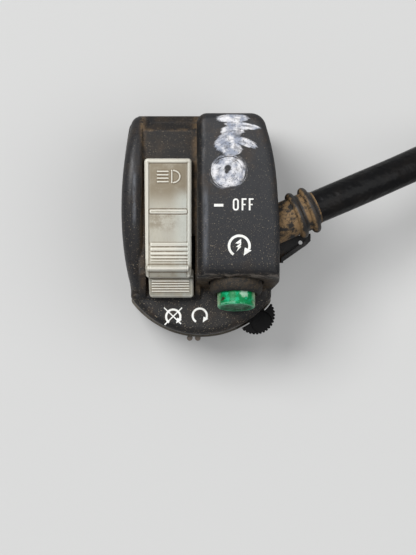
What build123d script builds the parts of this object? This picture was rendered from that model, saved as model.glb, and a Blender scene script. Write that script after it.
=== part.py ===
from build123d import *
import math
import os

# Handlebar switch cluster. X runs along the handlebar, Y up the switch face and Z out of it.
# The origin is the middle of the handlebar. The cluster lies on its back on a flat surface.
os.makedirs("parts", exist_ok=True)

# Handlebar and the bore that clamps it
bar_diameter = 22.2
bar_fit = 0.05
bore_radius = bar_diameter / 2 + bar_fit

# Levels above and below the middle of the bar
chin_level = 12.5
deck_level = 20.0
block_level = 30.5
rim_level = 24.6
base_depth = 17.0

# Walls, fits, the overrun that every cut shares and the side of the square that covers the part
wall = 2.0
seam_step = 0.8
running_fit = 0.06
loose_fit = 0.3
overrun = 2.0
cover_width = 90.0

# Plan of the casing, seen from the front
casing_top = 28.5
casing_left = -23.0
casing_right = 23.2
shoulder_left = -20.4
shoulder_right = 21.0
shoulder_low = -22.6
jaw_low = -20.2
belly_edge = -22.7
belly_high = 14.0
belly_low = -4.0
flank_edge = 21.9
flank_high = 16.0
flank_low = -3.0
corner_edge = 18.2
top_corner_round = 4.6
belly_round = 90.0
flank_round = 70.0
jaw_round = 1.5
arc_x = 0.3
arc_y = -10.8
chin_radius = 25.8
chin_round = 2.2

# Deck: the floor of the slider channel, with the well that the slider's tail runs in
channel_left = -17.0
channel_right = -0.9
deck_crease = 24.2
deck_edge_level = 16.5
deck_low = -18.0
deck_end = -25.4
well_left = -15.9
well_right = -1.4
well_high = -6.6
well_low = -25.4
well_floor = 13.0
leg_slot_left = -11.5
leg_slot_right = -7.3
leg_slot_low = -3.6
leg_slot_high = 11.7

# Rim: a rounded lip along the left side
rim_radius = 2.95
rim_top_x = -17.3
rim_top_y = 25.5
rim_top_z = 16.6
rim_middle_x = -20.05
rim_middle_y = 3.0
rim_foot_x = -17.6
rim_foot_y = -20.6
rim_foot_z = 12.0
rim_step = 0.3
rim_seat = 1.0

# Block: the raised box on the right that carries the marks
block_high = 29.0
block_low = -24.5
block_fall_top = 2.2
block_fall_foot = 0.8
block_crown_y = 2.0
block_round = 2.4
block_corner_round = 3.0

# Start button, on an axis that leans out of the face
button_lean = 12.4
button_radius = 5.53
button_x = 10.6
button_y = -27.7
button_z = 21.8
button_length = 10.6
button_bore = 4.3
button_face_wall = 1.8
button_edge = 0.5
boot_radius = 7.65
boot_nose = 4.4
boot_step = 7.2
boot_nose_wall = 0.5
boot_hole_radius = boot_radius + loose_fit
wall_outer = 7.3
wall_inner = wall_outer + wall

# Start switch behind the button, by distance inwards from the button's face
holder_plate_width = 18.4
holder_plate_height = 14.4
holder_flange = 1.3
holder_radius = 6.8
holder_floor_near = 13.0
holder_floor = 1.2
holder_screw_x = 7.4
holder_screw_y = -5.6
holder_arm_width = 2.0
holder_arm_wall = 1.1
holder_arm_reach = 4.15
stem_radius = 1.4
stem_length = 17.0
stem_socket = 3.0
stem_socket_wall = 0.9
clip_radius = 2.7
clip_wall = 0.8
disc_near = 15.8
disc_wall = 0.6
disc_radius = 3.2
base_near = 18.9
base_wall = 1.3
base_radius = 4.9
pad_radius = 0.7
pad_proud = 0.15
pad_reach = 2.7
spring_wire = 0.7
spring_radius = 3.1
spring_turns = 6
screw_radius = 0.8
screw_head_radius = 1.5
screw_head = 1.0
screw_slot_share = 0.6
screw_grip = 3.0

# Light slider
slider_left = -16.3
slider_right = -2.4
slider_high = 15.9
slider_low = -19.0
slider_level = 23.6
slider_under = deck_level + loose_fit
slider_chamfer = 0.7
slider_corner = 0.9
slider_travel = 9.0
panel_edge = 1.6
panel_depth = 0.35
mark_low = -0.6
mark_high = 0.8
rib_count = 6
rib_low = -14.2
rib_high = -8.6
rib_share = 0.55
ridge_y = -15.9
ridge_radius = 1.1
ridge_proud = 0.6
step_run = 2.2
tail_left = -15.3
tail_right = -1.9
tail_low = -24.8
tail_high = -16.2
tail_level = 18.9
tail_fall = 1.4
tail_rib_count = 5
tail_rib_low = -23.4
tail_rib_high = -19.9
tail_rib_proud = 0.35
leg_width = 3.6
leg_low = -3.2
leg_high = 2.3

# Parts under the deck
carriage_left = -14.4
carriage_right = -4.1
carriage_low = -4.2
carriage_high = 4.6
carriage_wall = 1.7
carriage_top = deck_level - wall - loose_fit
carriage_under = carriage_top - carriage_wall
bridge_wall = 0.35
bridge_width = 1.6
bridge_drop = 0.7
bridge_xs = (-13.0, -5.6)
bridge_slope = 0.8
board_left = -15.4
board_right = -3.4
board_low = -4.2
board_high = 20.4
board_wall = 1.4
contact_proud = 0.3
contact_radius = 1.0
board_under = carriage_under - bridge_wall - bridge_drop - contact_proud - running_fit - board_wall
board_post_radius = 1.9
board_post_y = 18.2
board_post_inset = 2.2
detent_radius = 0.6
detent_depth = 2.6
detent_gap = 0.1
detent_y = -0.2
rail_wall = 1.2
rail_face = -3.7
rail_low = -5.0
rail_high = 13.6
rail_depth = 2.0
notch_radius = 1.1

# Engine-stop slider: a thumb piece that runs on an arc under the chin
stop_rest_angle = -50.0
stop_travel = 22.0
stop_shoe_inset = 3.1
stop_shoe_width = 4.2
stop_shoe_outer = chin_radius - stop_shoe_inset
stop_shoe_inner = stop_shoe_outer - stop_shoe_width
stop_shoe_half = 12.0
stop_neck_half = 6.5
stop_slot_half = 7.5
stop_low = 7.4
stop_high = 9.7
stop_pad_low = -3.6
stop_pad_inset = 0.8
stop_pad_reach = chin_radius - stop_pad_inset
stop_pad_radius = 5.4
stop_pad_gap = 0.35
stop_tooth = 0.42
stop_tooth_count = 34
stop_dish_radius = 3.2
stop_dish_depth = 1.0
guide_wall = 1.2
guide_outer = stop_shoe_inner - loose_fit
guide_inner = guide_outer - guide_wall
guide_start = -96.0
guide_end = -38.0
plate_lap = 1.3
plate_inner = stop_shoe_inner - plate_lap
plate_outer = chin_radius - seam_step - wall - loose_fit
plate_wall = 1.3
plate_start = -99.0
plate_end = -24.0
plate_post_angles = (-92.5, -29.5)
plate_post_step = 1.7
plate_post_reach = stop_shoe_inner + plate_post_step
plate_post_radius = 1.7
slot_fit = 0.35
stop_ball_radius = 0.9
stop_ball_reach = guide_outer + detent_gap + stop_ball_radius
stop_pad_shares = (0.0, 0.5, 1.0)
stop_level = (stop_low + stop_high) / 2
stop_floor = stop_low - bridge_wall - loose_fit
stop_spring_wall = 0.7
stop_spring_end = stop_shoe_outer - stop_spring_wall

# Screws that clamp the halves on the bar
clamp_places = ((8.0, 20.0), (-13.4, -20.6))
clamp_radius = 2.0
clamp_head_radius = 3.6
clamp_head = 2.4
clamp_end = 9.0
insert_radius = 2.9
insert_low = 2.0
insert_high = 8.0
boss_wall = 1.5
clamp_seat = -9.6
drive_width = 1.0
drive_length = 4.4
drive_depth = 1.1

# Rear casing
base_high = 15.0
base_low = -19.0
base_bulge_high = 24.6
base_bulge_low = -31.2
base_bulge_depth = 11.6
lug_xs = (-3.1, -0.7)
lug_width = 1.7
lug_proud = 0.3
lug_height = 2.6
saddle_inset = 3.2
saddle_wall = 3.0

# Grommet and cable guard on the right side
grommet_turn = 23.0
grommet_dip = 8.0
grommet_x = 23.0
grommet_y = -3.0
grommet_z = 19.7
grommet_radius = 5.65
grommet_inside = 5.5
grommet_length = 12.2
grommet_bore = 3.6
grommet_end_radius = 4.8
ring_places = (5.9, 9.9)
ring_radius = 7.05
ring_middle = 5.5
ring_wall = 2.1
guard_level = 10.6
guard_wall = 1.3
guard_lip = 3.0
guard_tab_low = -14.6
guard_tab_high = -6.6
guard_tab_drop = 7.2
guard_tip_x = 32.6
guard_tip_y = -5.9
guard_tip_low = -9.4
guard_root_high = -7.6
guard_root_low = -14.6
guard_hole_x = 29.6
guard_hole_y = -8.6
guard_hole_radius = 0.6
guard_screw_y = -11.0
guard_screw_z = 6.4
guard_boss_radius = 2.4
guard_boss_depth = 3.0

# Wires inside the block
wire_radius = 0.5
wire_pitch = 1.6
wire_y = -1.6
wire_turn_x = 1.8
wire_lead = 1.7
wire_bend = 3.0

# Loom: its real length is laid out, and the part past the picture is wound into a coil
loom_radius = 4.8
tie_wall = 0.75
tie_fit = 0.1
tie_width = 4.5
bend_share = 0.45
loom_rest = -base_depth + tie_wall + tie_fit + loom_radius
loom_first_run = 13.0
loom_far_route = (
    (58.17, 12.08, 11.9),
    (69.33, 17.10, 5.1),
    (80.06, 21.87, -2.8),
    (91.83, 26.87, -8.7),
    (104.57, 32.02, -11.35),
    (116.67, 36.78, -11.35),
)
coil_radius = 52.0
coil_pitch = 10.6
coil_half_turns = 3
coil_samples = 60
coil_hook_radius = 28.0
coil_lead = 2 * loom_radius

# Connector on the end of the loom
seal_length = 3.0
seal_radius = 5.2
plug_length = 20.0
plug_width = 14.0
plug_height = 11.0
plug_wall = 1.4
plug_depth = 12.0
plug_round = 1.0
pin_rows = 2
pin_columns = 3
pin_pitch = 3.4
pin_width = 0.9
pin_length = 5.0
pin_root = 3.0

# Directions of the button and the grommet
lean = math.radians(button_lean)
button_out = Vector(0, -math.cos(lean), math.sin(lean))
button_face = Vector(button_x, button_y, button_z)
turn = math.radians(grommet_turn)
dip = math.radians(grommet_dip)
grommet_way = Vector(
    math.cos(dip) * math.cos(turn), math.cos(dip) * math.sin(turn), -math.sin(dip)
)
grommet_seat = Vector(grommet_x, grommet_y, grommet_z)
grommet_back = grommet_seat - grommet_way * grommet_inside
loom_start = grommet_seat + grommet_way * grommet_length
loom_route = [loom_start, loom_start + grommet_way * loom_first_run] + [
    Vector(*point) for point in loom_far_route
]


def save(part, name):
    """Label a finished piece and write it as a STEP file."""
    part.label = name
    export_step(part, f"parts/{name}.step")


def rounded_outline(corners):
    """A face on the base plane from (x, y, rounding) corners, taken anticlockwise."""
    with BuildSketch() as shape:
        with BuildLine():
            Polyline([(x, y) for x, y, _ in corners], close=True)
        make_face()
        for x, y, rounding in corners:
            if rounding:
                fillet(shape.vertices().sort_by_distance((x, y))[0], rounding)
    return shape.sketch


def upper_plan():
    """The casing's outline above the chin, seen from the front."""
    return rounded_outline(
        [
            (shoulder_left, casing_top, top_corner_round),
            (belly_edge, belly_high, belly_round),
            (casing_left, belly_low, belly_round),
            (shoulder_left, shoulder_low, 0),
            (shoulder_right, shoulder_low, 0),
            (casing_right, jaw_low, jaw_round),
            (casing_right, flank_low, flank_round),
            (flank_edge, flank_high, flank_round),
            (corner_edge, casing_top, top_corner_round),
        ]
    )


def chin_plan(chin):
    """The chin's outline: a disc of this radius between the casing's two shoulders."""
    with BuildSketch() as plan:
        with Locations((arc_x, arc_y)):
            Circle(chin)
        with Locations(((shoulder_left + shoulder_right) / 2, arc_y - chin_radius)):
            Rectangle(shoulder_right - shoulder_left, 2 * chin_radius, mode=Mode.INTERSECT)
        fillet(plan.vertices().group_by(Axis.Y)[0], jaw_round)
    return plan.sketch


def casing_plan(chin, inset):
    """The casing's whole outline seen from the front, drawn in by inset."""
    with BuildSketch() as plan:
        add(upper_plan())
        add(chin_plan(chin))
        if inset:
            offset(amount=-inset, kind=Kind.INTERSECTION)
    return plan.sketch


def block_plan(inset):
    """The raised block's outline, drawn in by inset."""
    with BuildSketch() as plan:
        add(
            rounded_outline(
                [
                    (channel_right, block_high, block_corner_round),
                    (channel_right, block_low, 0),
                    (shoulder_right, block_low, 0),
                    (shoulder_right, shoulder_low, 0),
                    (casing_right, jaw_low, jaw_round),
                    (casing_right, flank_low, flank_round),
                    (flank_edge, flank_high, flank_round),
                    (corner_edge, block_high, top_corner_round),
                ]
            )
        )
        if inset:
            offset(amount=-inset, kind=Kind.INTERSECTION)
    return plan.sketch


def side_face(points):
    """A face drawn in the YZ plane from (y, z) points, for extruding along the bar."""
    with BuildSketch(Plane.YZ) as shape:
        with BuildLine():
            Polyline(points, close=True)
        make_face()
    return shape.sketch


def button_plane(depth):
    """A plane across the button's axis, this far inwards from the button's face."""
    return Plane(origin=button_face - button_out * depth, x_dir=(1, 0, 0), z_dir=button_out)


def button_tube(near, far, radius, bore):
    """A round solid on the button's axis from one depth to the other, with a bore."""
    with BuildPart() as tube:
        with BuildSketch(button_plane(far)):
            Circle(radius)
            if bore:
                Circle(bore, mode=Mode.SUBTRACT)
        extrude(amount=far - near)
    return tube.part


def arc_sector(inner, outer, start, end, low, high):
    """A flat ring sector about the chin's centre, between two angles and two levels."""
    reach = 2 * outer
    middle = math.radians((start + end) / 2)
    with BuildPart() as sector:
        with BuildSketch(Plane.XY.offset(low)):
            with Locations((arc_x, arc_y)):
                Circle(outer)
                Circle(inner, mode=Mode.SUBTRACT)
            with BuildLine(mode=Mode.PRIVATE) as wedge:
                corners = [(arc_x, arc_y)]
                for angle in (math.radians(start), middle, math.radians(end)):
                    x = arc_x + reach * math.cos(angle)
                    y = arc_y + reach * math.sin(angle)
                    corners.append((x, y))
                Polyline(corners, close=True)
            make_face(wedge.edges(), mode=Mode.INTERSECT)
        extrude(amount=high - low)
    return sector.part


def arc_place(reach, angle):
    """A point at this reach and angle from the chin's centre."""
    bearing = math.radians(angle)
    return arc_x + reach * math.cos(bearing), arc_y + reach * math.sin(bearing)


def upright(places, radius, low, high):
    """Round posts on a list of places, between two levels."""
    with BuildPart() as posts:
        with BuildSketch(Plane.XY.offset(low)):
            with Locations(*places):
                Circle(radius)
        extrude(amount=high - low)
    return posts.part


def slab(left, right, low, high, bottom, top):
    """A plain box between two x, two y and two z values."""
    with BuildPart() as box:
        with BuildSketch(Plane.XY.offset(bottom)):
            with Locations(((left + right) / 2, (low + high) / 2)):
                Rectangle(right - left, high - low)
        extrude(amount=top - bottom)
    return box.part


def bar_tool():
    """The cylinder that the handlebar fills, past both sides of the casing."""
    with BuildPart() as tool:
        with BuildSketch(Plane.YZ.offset(casing_left - overrun)):
            Circle(bore_radius)
        extrude(amount=casing_right - casing_left + 2 * overrun)
    return tool.part


def screw(tip, way, length, radius, head_radius, head, slot):
    """A screw whose tip is at a point and whose head lies at the far end of way."""
    with BuildPart() as body:
        base = Plane(origin=tip, z_dir=way)
        with BuildSketch(base):
            Circle(radius)
        extrude(amount=length)
        with BuildSketch(base.offset(length)):
            Circle(head_radius)
        extrude(amount=head)
        with BuildSketch(base.offset(length + head)):
            Rectangle(2 * head_radius * slot, head_radius / 3)
            Rectangle(head_radius / 3, 2 * head_radius * slot)
        extrude(amount=-head / 2, mode=Mode.SUBTRACT)
    return body.part


def make_rim():
    """The rounded lip along the left side, with the wall that carries it."""
    with BuildPart() as rim:
        with BuildLine() as spine:
            ThreePointArc(
                (rim_top_x, rim_top_y, rim_top_z),
                (rim_middle_x, rim_middle_y, rim_level - rim_radius),
                (rim_foot_x, rim_foot_y, rim_foot_z),
            )
        with BuildSketch(spine.line ^ 0):
            Circle(rim_radius)
        sweep()
        for end in (spine.line @ 0, spine.line @ 1):
            with Locations(end):
                Sphere(rim_radius)
    return rim.part


def make_rim_wall():
    """The wall under the lip, from the parting line up to just below the lip's own middle."""
    seat_top = rim_top_z - rim_seat
    seat_foot = rim_foot_z - rim_seat
    with BuildPart() as rim_wall:
        extrude(casing_plan(chin_radius - seam_step, rim_step), amount=rim_level)
        with BuildSketch(Plane.YZ.offset(casing_left - overrun)):
            with BuildLine():
                Line((casing_top + overrun, 0), (casing_top + overrun, seat_top))
                Line((casing_top + overrun, seat_top), (rim_top_y, seat_top))
                ThreePointArc(
                    (rim_top_y, seat_top),
                    (rim_middle_y, rim_level - rim_radius - rim_seat),
                    (rim_foot_y, seat_foot),
                )
                Line((rim_foot_y, seat_foot), (shoulder_low - overrun, 0))
                Line((shoulder_low - overrun, 0), (casing_top + overrun, 0))
            make_face()
        extrude(amount=channel_left - casing_left + overrun, mode=Mode.INTERSECT)
    return rim_wall.part


def make_deck():
    """The slider channel's floor, with its crease and its fall to the chin."""
    with BuildPart() as deck:
        extrude(
            side_face(
                [
                    (casing_top, 0),
                    (casing_top, deck_edge_level),
                    (deck_crease, deck_level),
                    (deck_low, deck_level),
                    (deck_end, chin_level),
                    (deck_end, 0),
                ]
            ).moved(Location((channel_left - wall / 2, 0, 0))),
            amount=channel_right - channel_left + wall,
        )
    return deck.part


def make_block():
    """The raised block: a gently crowned top and a lower end that faces the button's way."""
    with BuildPart() as block:
        extrude(block_plan(0), amount=block_level + overrun)
        foot = button_face - button_out * wall_outer
        fall = math.tan(lean)
        foot_top = foot.Y + (block_level - foot.Z) * fall
        foot_low = foot.Y + (0 - foot.Z) * fall
        with BuildSketch(Plane.YZ.offset(channel_right - overrun)):
            with BuildLine():
                ThreePointArc(
                    (foot_top, block_level - block_fall_foot),
                    (block_crown_y, block_level),
                    (block_high + overrun, block_level - block_fall_top),
                )
                Line((block_high + overrun, block_level - block_fall_top), (block_high + overrun, 0))
                Line((block_high + overrun, 0), (foot_low, 0))
                Line((foot_low, 0), (foot_top, block_level - block_fall_foot))
            make_face()
        extrude(amount=casing_right - channel_right + 2 * overrun, mode=Mode.INTERSECT)
        fillet(block.faces().sort_by(Axis.Z)[-1].edges(), block_round)
    return block.part


def make_chin():
    """The low body of the casing, with the chin's rounded upper edge."""
    with BuildPart() as chin:
        extrude(chin_plan(chin_radius - seam_step), amount=chin_level)
        rounded = chin.faces().sort_by(Axis.Z)[-1].edges().sort_by(Axis.Y)[:-1]
        fillet(rounded, chin_round)
        extrude(upper_plan(), amount=chin_level - chin_round)
    return chin.part


def make_block_hollow():
    """The space inside the block, open to the parting line."""
    with BuildPart() as hollow:
        extrude(block_plan(wall), amount=block_level - wall - block_fall_foot)
        foot = button_face - button_out * wall_inner
        with BuildSketch(Plane(origin=foot, x_dir=(1, 0, 0), z_dir=button_out)):
            Rectangle(cover_width, cover_width)
        extrude(amount=casing_right, mode=Mode.SUBTRACT)
    return hollow.part


def make_front_casing():
    """The front half: shells, saddles, posts and every opening."""
    saddle_right = casing_right - saddle_inset
    saddle_left = casing_left + saddle_inset
    with BuildPart() as front_casing:
        add(make_chin())
        add(make_deck())
        add(make_rim_wall())
        add(make_rim())
        add(make_block())
        extrude(
            casing_plan(chin_radius - seam_step, wall),
            amount=chin_level - wall,
            mode=Mode.SUBTRACT,
        )
        add(
            slab(
                channel_left + wall / 2,
                channel_right + wall + overrun,
                well_high + wall,
                casing_top - wall,
                0,
                deck_level - wall,
            ),
            mode=Mode.SUBTRACT,
        )
        add(make_block_hollow(), mode=Mode.SUBTRACT)
        # Well and slot of the slider
        add(
            slab(well_left, well_right, well_low, well_high, well_floor, deck_level + overrun),
            mode=Mode.SUBTRACT,
        )
        add(
            slab(
                leg_slot_left,
                leg_slot_right,
                leg_slot_low,
                leg_slot_high,
                deck_level - wall - overrun,
                deck_level + overrun,
            ),
            mode=Mode.SUBTRACT,
        )
        # Saddles for the bar
        for left in (saddle_left, saddle_right - saddle_wall):
            add(
                slab(
                    left,
                    left + saddle_wall,
                    -bore_radius - wall,
                    bore_radius + wall,
                    0,
                    chin_level,
                )
            )
        # Posts under the deck, the chin and the block
        add(
            upright(
                [
                    (board_left + board_post_inset, board_post_y),
                    (board_right - board_post_inset, board_post_y),
                ],
                board_post_radius,
                board_under + board_wall,
                deck_level - wall + overrun / 2,
            )
        )
        add(
            upright(
                [arc_place(plate_post_reach, angle) for angle in plate_post_angles],
                plate_post_radius,
                stop_floor,
                chin_level - wall / 2,
            )
        )
        add(upright([clamp_places[0]], insert_radius + boss_wall, 0, block_level - wall))
        add(upright([clamp_places[1]], insert_radius + boss_wall, 0, chin_level - wall / 2))
        add(
            arc_sector(
                guide_inner,
                guide_outer,
                guide_start,
                guide_end,
                stop_floor,
                chin_level - wall / 2,
            )
        )
        add(
            slab(
                rail_face,
                rail_face + rail_wall,
                rail_low,
                rail_high,
                deck_level - wall - rail_depth,
                deck_level - wall / 2,
            )
        )
        # Room for the slider between the lip and the block
        add(
            slab(
                slider_left - 2 * loose_fit,
                channel_right,
                slider_low - overrun,
                casing_top + overrun,
                slider_under - loose_fit,
                block_level + overrun,
            ),
            mode=Mode.SUBTRACT,
        )
        # Detent notches
        add(
            upright(
                [
                    (rail_face - running_fit, detent_y + step * slider_travel / 2)
                    for step in range(3)
                ],
                notch_radius / 2,
                deck_level - wall - rail_depth,
                deck_level - wall,
            ),
            mode=Mode.SUBTRACT,
        )
        # Guard boss on the side wall
        with BuildSketch(Plane.YZ.offset(casing_right - wall - guard_boss_depth)):
            with Locations((guard_screw_y, guard_screw_z)):
                Circle(guard_boss_radius)
        extrude(amount=guard_boss_depth + wall / 2)
        # Bores and holes
        add(bar_tool(), mode=Mode.SUBTRACT)
        add(
            button_tube(boot_nose, wall_inner + running_fit, boot_hole_radius, 0),
            mode=Mode.SUBTRACT,
        )
        with BuildSketch(Plane(origin=grommet_back, z_dir=grommet_way)):
            Circle(grommet_radius + running_fit)
        extrude(amount=grommet_length, mode=Mode.SUBTRACT)
        add(
            arc_sector(
                chin_radius - wall - 2 * overrun,
                chin_radius + overrun,
                stop_rest_angle - stop_travel - stop_slot_half,
                stop_rest_angle + stop_slot_half,
                stop_low - slot_fit,
                stop_high + slot_fit,
            ),
            mode=Mode.SUBTRACT,
        )
        for place in clamp_places:
            add(
                upright([place], insert_radius, -overrun, insert_high),
                mode=Mode.SUBTRACT,
            )
            add(
                upright([place], clamp_radius + running_fit, 0, clamp_end + loose_fit),
                mode=Mode.SUBTRACT,
            )
        for hole in (
            upright(
                [
                    (board_left + board_post_inset, board_post_y),
                    (board_right - board_post_inset, board_post_y),
                ],
                screw_radius,
                board_under,
                board_under + board_wall + screw_grip + loose_fit,
            ),
            upright(
                [arc_place(plate_post_reach, angle) for angle in plate_post_angles],
                screw_radius,
                stop_floor - plate_wall,
                stop_floor + screw_grip + loose_fit,
            ),
        ):
            add(hole, mode=Mode.SUBTRACT)
        with BuildSketch(Plane.YZ.offset(casing_right + overrun)):
            with Locations((guard_screw_y, guard_screw_z)):
                Circle(screw_radius)
        extrude(amount=-guard_boss_depth - overrun, mode=Mode.SUBTRACT)
        add(holder_screw_hole(), mode=Mode.SUBTRACT)
    save(front_casing.part, "front_casing")


def holder_screw_hole():
    """The hole for the holder's screw, in the back of the slanted wall."""
    with BuildPart() as hole:
        with BuildSketch(button_plane(wall_inner)):
            with Locations((holder_screw_x, holder_screw_y)):
                Circle(screw_radius)
        extrude(amount=wall - loose_fit)
    return hole.part


def base_profile(share):
    """The rear casing's side profile in the YZ plane, with its depth and bulge scaled by share."""
    high = base_high * share
    low = base_low * share
    bottom = -base_depth * share
    chin_low = arc_y - chin_radius
    with BuildSketch(Plane.YZ.offset(casing_left - overrun)) as profile:
        with BuildLine():
            Line((casing_top, overrun), (casing_top, 0))
            ThreePointArc(
                (casing_top, 0),
                (base_bulge_high * share, -base_bulge_depth * share),
                (high, bottom),
            )
            Line((high, bottom), (low, bottom))
            ThreePointArc(
                (low, bottom),
                (base_bulge_low * share, -base_bulge_depth * share),
                (chin_low, 0),
            )
            Line((chin_low, 0), (chin_low, overrun))
            Line((chin_low, overrun), (casing_top, overrun))
        make_face()
    return profile.sketch


def base_form(inset, share):
    """The rear casing's bowed form, drawn in by inset, without its openings."""
    with BuildPart() as form:
        extrude(casing_plan(chin_radius, inset), amount=-base_depth)
        extrude(
            base_profile(share),
            amount=casing_right - casing_left + 2 * overrun,
            mode=Mode.INTERSECT,
        )
    return form.part


def make_rear_casing():
    """The rear half: a bowed shell with its saddles, screw posts and the two small lugs."""
    saddle_right = casing_right - saddle_inset
    saddle_left = casing_left + saddle_inset
    outer = base_form(0, 1)
    with BuildPart() as rear_casing:
        add(outer)
        add(base_form(wall, 1 - wall / base_depth), mode=Mode.SUBTRACT)
        for left in (saddle_left, saddle_right - saddle_wall):
            saddle_high = bore_radius + wall
            add(slab(left, left + saddle_wall, -saddle_high, saddle_high, -base_depth, 0))
        add(upright(clamp_places, clamp_head_radius + boss_wall, -base_depth, 0))
        add(outer, mode=Mode.INTERSECT)
        add(
            upright(
                [(x, arc_y - chin_radius - lug_proud) for x in lug_xs],
                lug_width / 2,
                -lug_height,
                0,
            )
        )
        add(bar_tool(), mode=Mode.SUBTRACT)
        add(
            upright(clamp_places, clamp_radius + loose_fit, -base_depth - overrun, overrun),
            mode=Mode.SUBTRACT,
        )
        add(
            upright(
                clamp_places,
                clamp_head_radius + loose_fit,
                -base_depth - overrun,
                clamp_seat,
            ),
            mode=Mode.SUBTRACT,
        )
    save(rear_casing.part, "rear_casing")


def make_clamp_screws():
    """The two screws that pull the halves together, and the brass inserts that they bite in."""
    head_low = clamp_seat - clamp_head
    with BuildPart() as clamp_screws:
        add(upright(clamp_places, clamp_radius, clamp_seat, clamp_end))
        add(upright(clamp_places, clamp_head_radius, head_low, clamp_seat))
        with BuildSketch(Plane.XY.offset(head_low)):
            with Locations(*clamp_places):
                Rectangle(drive_length, drive_width)
                Rectangle(drive_width, drive_length)
        extrude(amount=drive_depth, mode=Mode.SUBTRACT)
    save(clamp_screws.part, "clamp_screws")
    with BuildPart() as threaded_inserts:
        add(upright(clamp_places, insert_radius, insert_low, insert_high))
        add(
            upright(clamp_places, clamp_radius, insert_low - overrun, insert_high + overrun),
            mode=Mode.SUBTRACT,
        )
    save(threaded_inserts.part, "threaded_inserts")


def make_light_slider():
    """The pale slider: plate, border, index bar, ribs, thumb ridge and stepped tail."""
    middle = (slider_left + slider_right) / 2
    width = slider_right - slider_left
    panel_low = ridge_y + ridge_radius
    panel_high = slider_high - panel_edge
    bar_length = width - 2 * panel_edge - slider_chamfer
    neck_level = slider_under + slider_chamfer
    pitch = (rib_high - rib_low) / rib_count
    with BuildPart() as light_slider:
        with BuildSketch(Plane.XY.offset(slider_under)):
            with Locations((middle, (slider_high + slider_low) / 2)):
                RectangleRounded(width, slider_high - slider_low, slider_corner)
        extrude(amount=slider_level - slider_under)
        chamfer(light_slider.faces().sort_by(Axis.Z)[-1].edges(), slider_chamfer)
        # Step down to the tail at the thumb end
        with BuildSketch(Plane.YZ.offset(slider_left - overrun)):
            with BuildLine():
                Polyline(
                    [
                        (slider_low - overrun, slider_level + overrun),
                        (slider_low + step_run, slider_level + overrun),
                        (slider_low + step_run, slider_level),
                        (slider_low, neck_level),
                        (slider_low - overrun, neck_level),
                    ],
                    close=True,
                )
            make_face()
        extrude(amount=width + 2 * overrun, mode=Mode.SUBTRACT)
        # Sunk panel inside the raised border
        with BuildSketch(Plane.XY.offset(slider_level)):
            with Locations((middle, (panel_high + panel_low) / 2)):
                RectangleRounded(width - 2 * panel_edge, panel_high - panel_low, slider_corner)
        extrude(amount=-panel_depth, mode=Mode.SUBTRACT)
        # Index bar and thumb ribs, level with the border
        with BuildSketch(Plane.XY.offset(slider_level - panel_depth)):
            with Locations((middle, (mark_low + mark_high) / 2)):
                Rectangle(bar_length, mark_high - mark_low)
            for rib in range(rib_count):
                with Locations((middle, rib_low + pitch * rib + pitch / 2)):
                    Rectangle(bar_length, pitch * rib_share)
        extrude(amount=panel_depth)
        # Thumb ridge
        with BuildSketch(Plane.YZ.offset(middle - bar_length / 2)):
            with Locations((ridge_y, slider_level + ridge_proud - ridge_radius)):
                Circle(ridge_radius)
        extrude(amount=bar_length)
        # Tail in the well, with its fall and its ribs
        with BuildSketch(Plane.YZ.offset(tail_left)):
            with BuildLine():
                Polyline(
                    [
                        (tail_low, well_floor + loose_fit),
                        (tail_high, well_floor + loose_fit),
                        (tail_high, neck_level),
                        (slider_low, neck_level),
                        (slider_low, tail_level),
                        (tail_low, tail_level - tail_fall),
                    ],
                    close=True,
                )
            make_face()
        extrude(amount=tail_right - tail_left)
        tail_pitch = (tail_rib_high - tail_rib_low) / tail_rib_count
        slope = tail_fall / (slider_low - tail_low)
        with BuildSketch(Plane.YZ.offset(middle - bar_length / 2)):
            for rib in range(tail_rib_count):
                y = tail_rib_low + tail_pitch * rib + tail_pitch / 2
                with Locations((y, tail_level - (slider_low - y) * slope)):
                    Rectangle(tail_pitch * rib_share, 2 * tail_rib_proud)
        extrude(amount=bar_length)
        # Leg through the slot in the deck, that the carriage sits on
        leg_middle = (leg_slot_left + leg_slot_right) / 2
        add(
            slab(
                leg_middle - leg_width / 2,
                leg_middle + leg_width / 2,
                leg_low,
                leg_high,
                carriage_under,
                slider_under,
            )
        )
    save(light_slider.part, "light_slider")


def make_slider_carriage():
    """The carriage under the deck, with the hole for the leg and the detent's bore."""
    leg_middle = (leg_slot_left + leg_slot_right) / 2
    middle_level = (carriage_top + carriage_under) / 2
    ball_x = rail_face - detent_gap - detent_radius
    bore_end = carriage_right - detent_depth
    with BuildPart() as slider_carriage:
        add(
            slab(
                carriage_left,
                carriage_right,
                carriage_low,
                carriage_high,
                carriage_under,
                carriage_top,
            )
        )
        add(
            slab(
                leg_middle - leg_width / 2,
                leg_middle + leg_width / 2,
                leg_low,
                leg_high,
                carriage_under - overrun,
                carriage_top + overrun,
            ),
            mode=Mode.SUBTRACT,
        )
        with BuildSketch(Plane.YZ.offset(bore_end)):
            with Locations((detent_y, middle_level)):
                Circle(detent_radius + running_fit)
        extrude(amount=detent_depth + overrun, mode=Mode.SUBTRACT)
    save(slider_carriage.part, "slider_carriage")
    with BuildPart() as slider_detent_ball:
        with Locations((ball_x, detent_y, middle_level)):
            Sphere(detent_radius)
    save(slider_detent_ball.part, "slider_detent_ball")
    with BuildPart() as slider_detent_spring:
        with BuildSketch(Plane.YZ.offset(bore_end)):
            with Locations((detent_y, middle_level)):
                Circle(detent_radius)
                Circle(detent_radius / 2, mode=Mode.SUBTRACT)
        extrude(amount=ball_x - bore_end)
        with Locations((ball_x, detent_y, middle_level)):
            Sphere(detent_radius, mode=Mode.SUBTRACT)
    save(slider_detent_spring.part, "slider_detent_spring")


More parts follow.
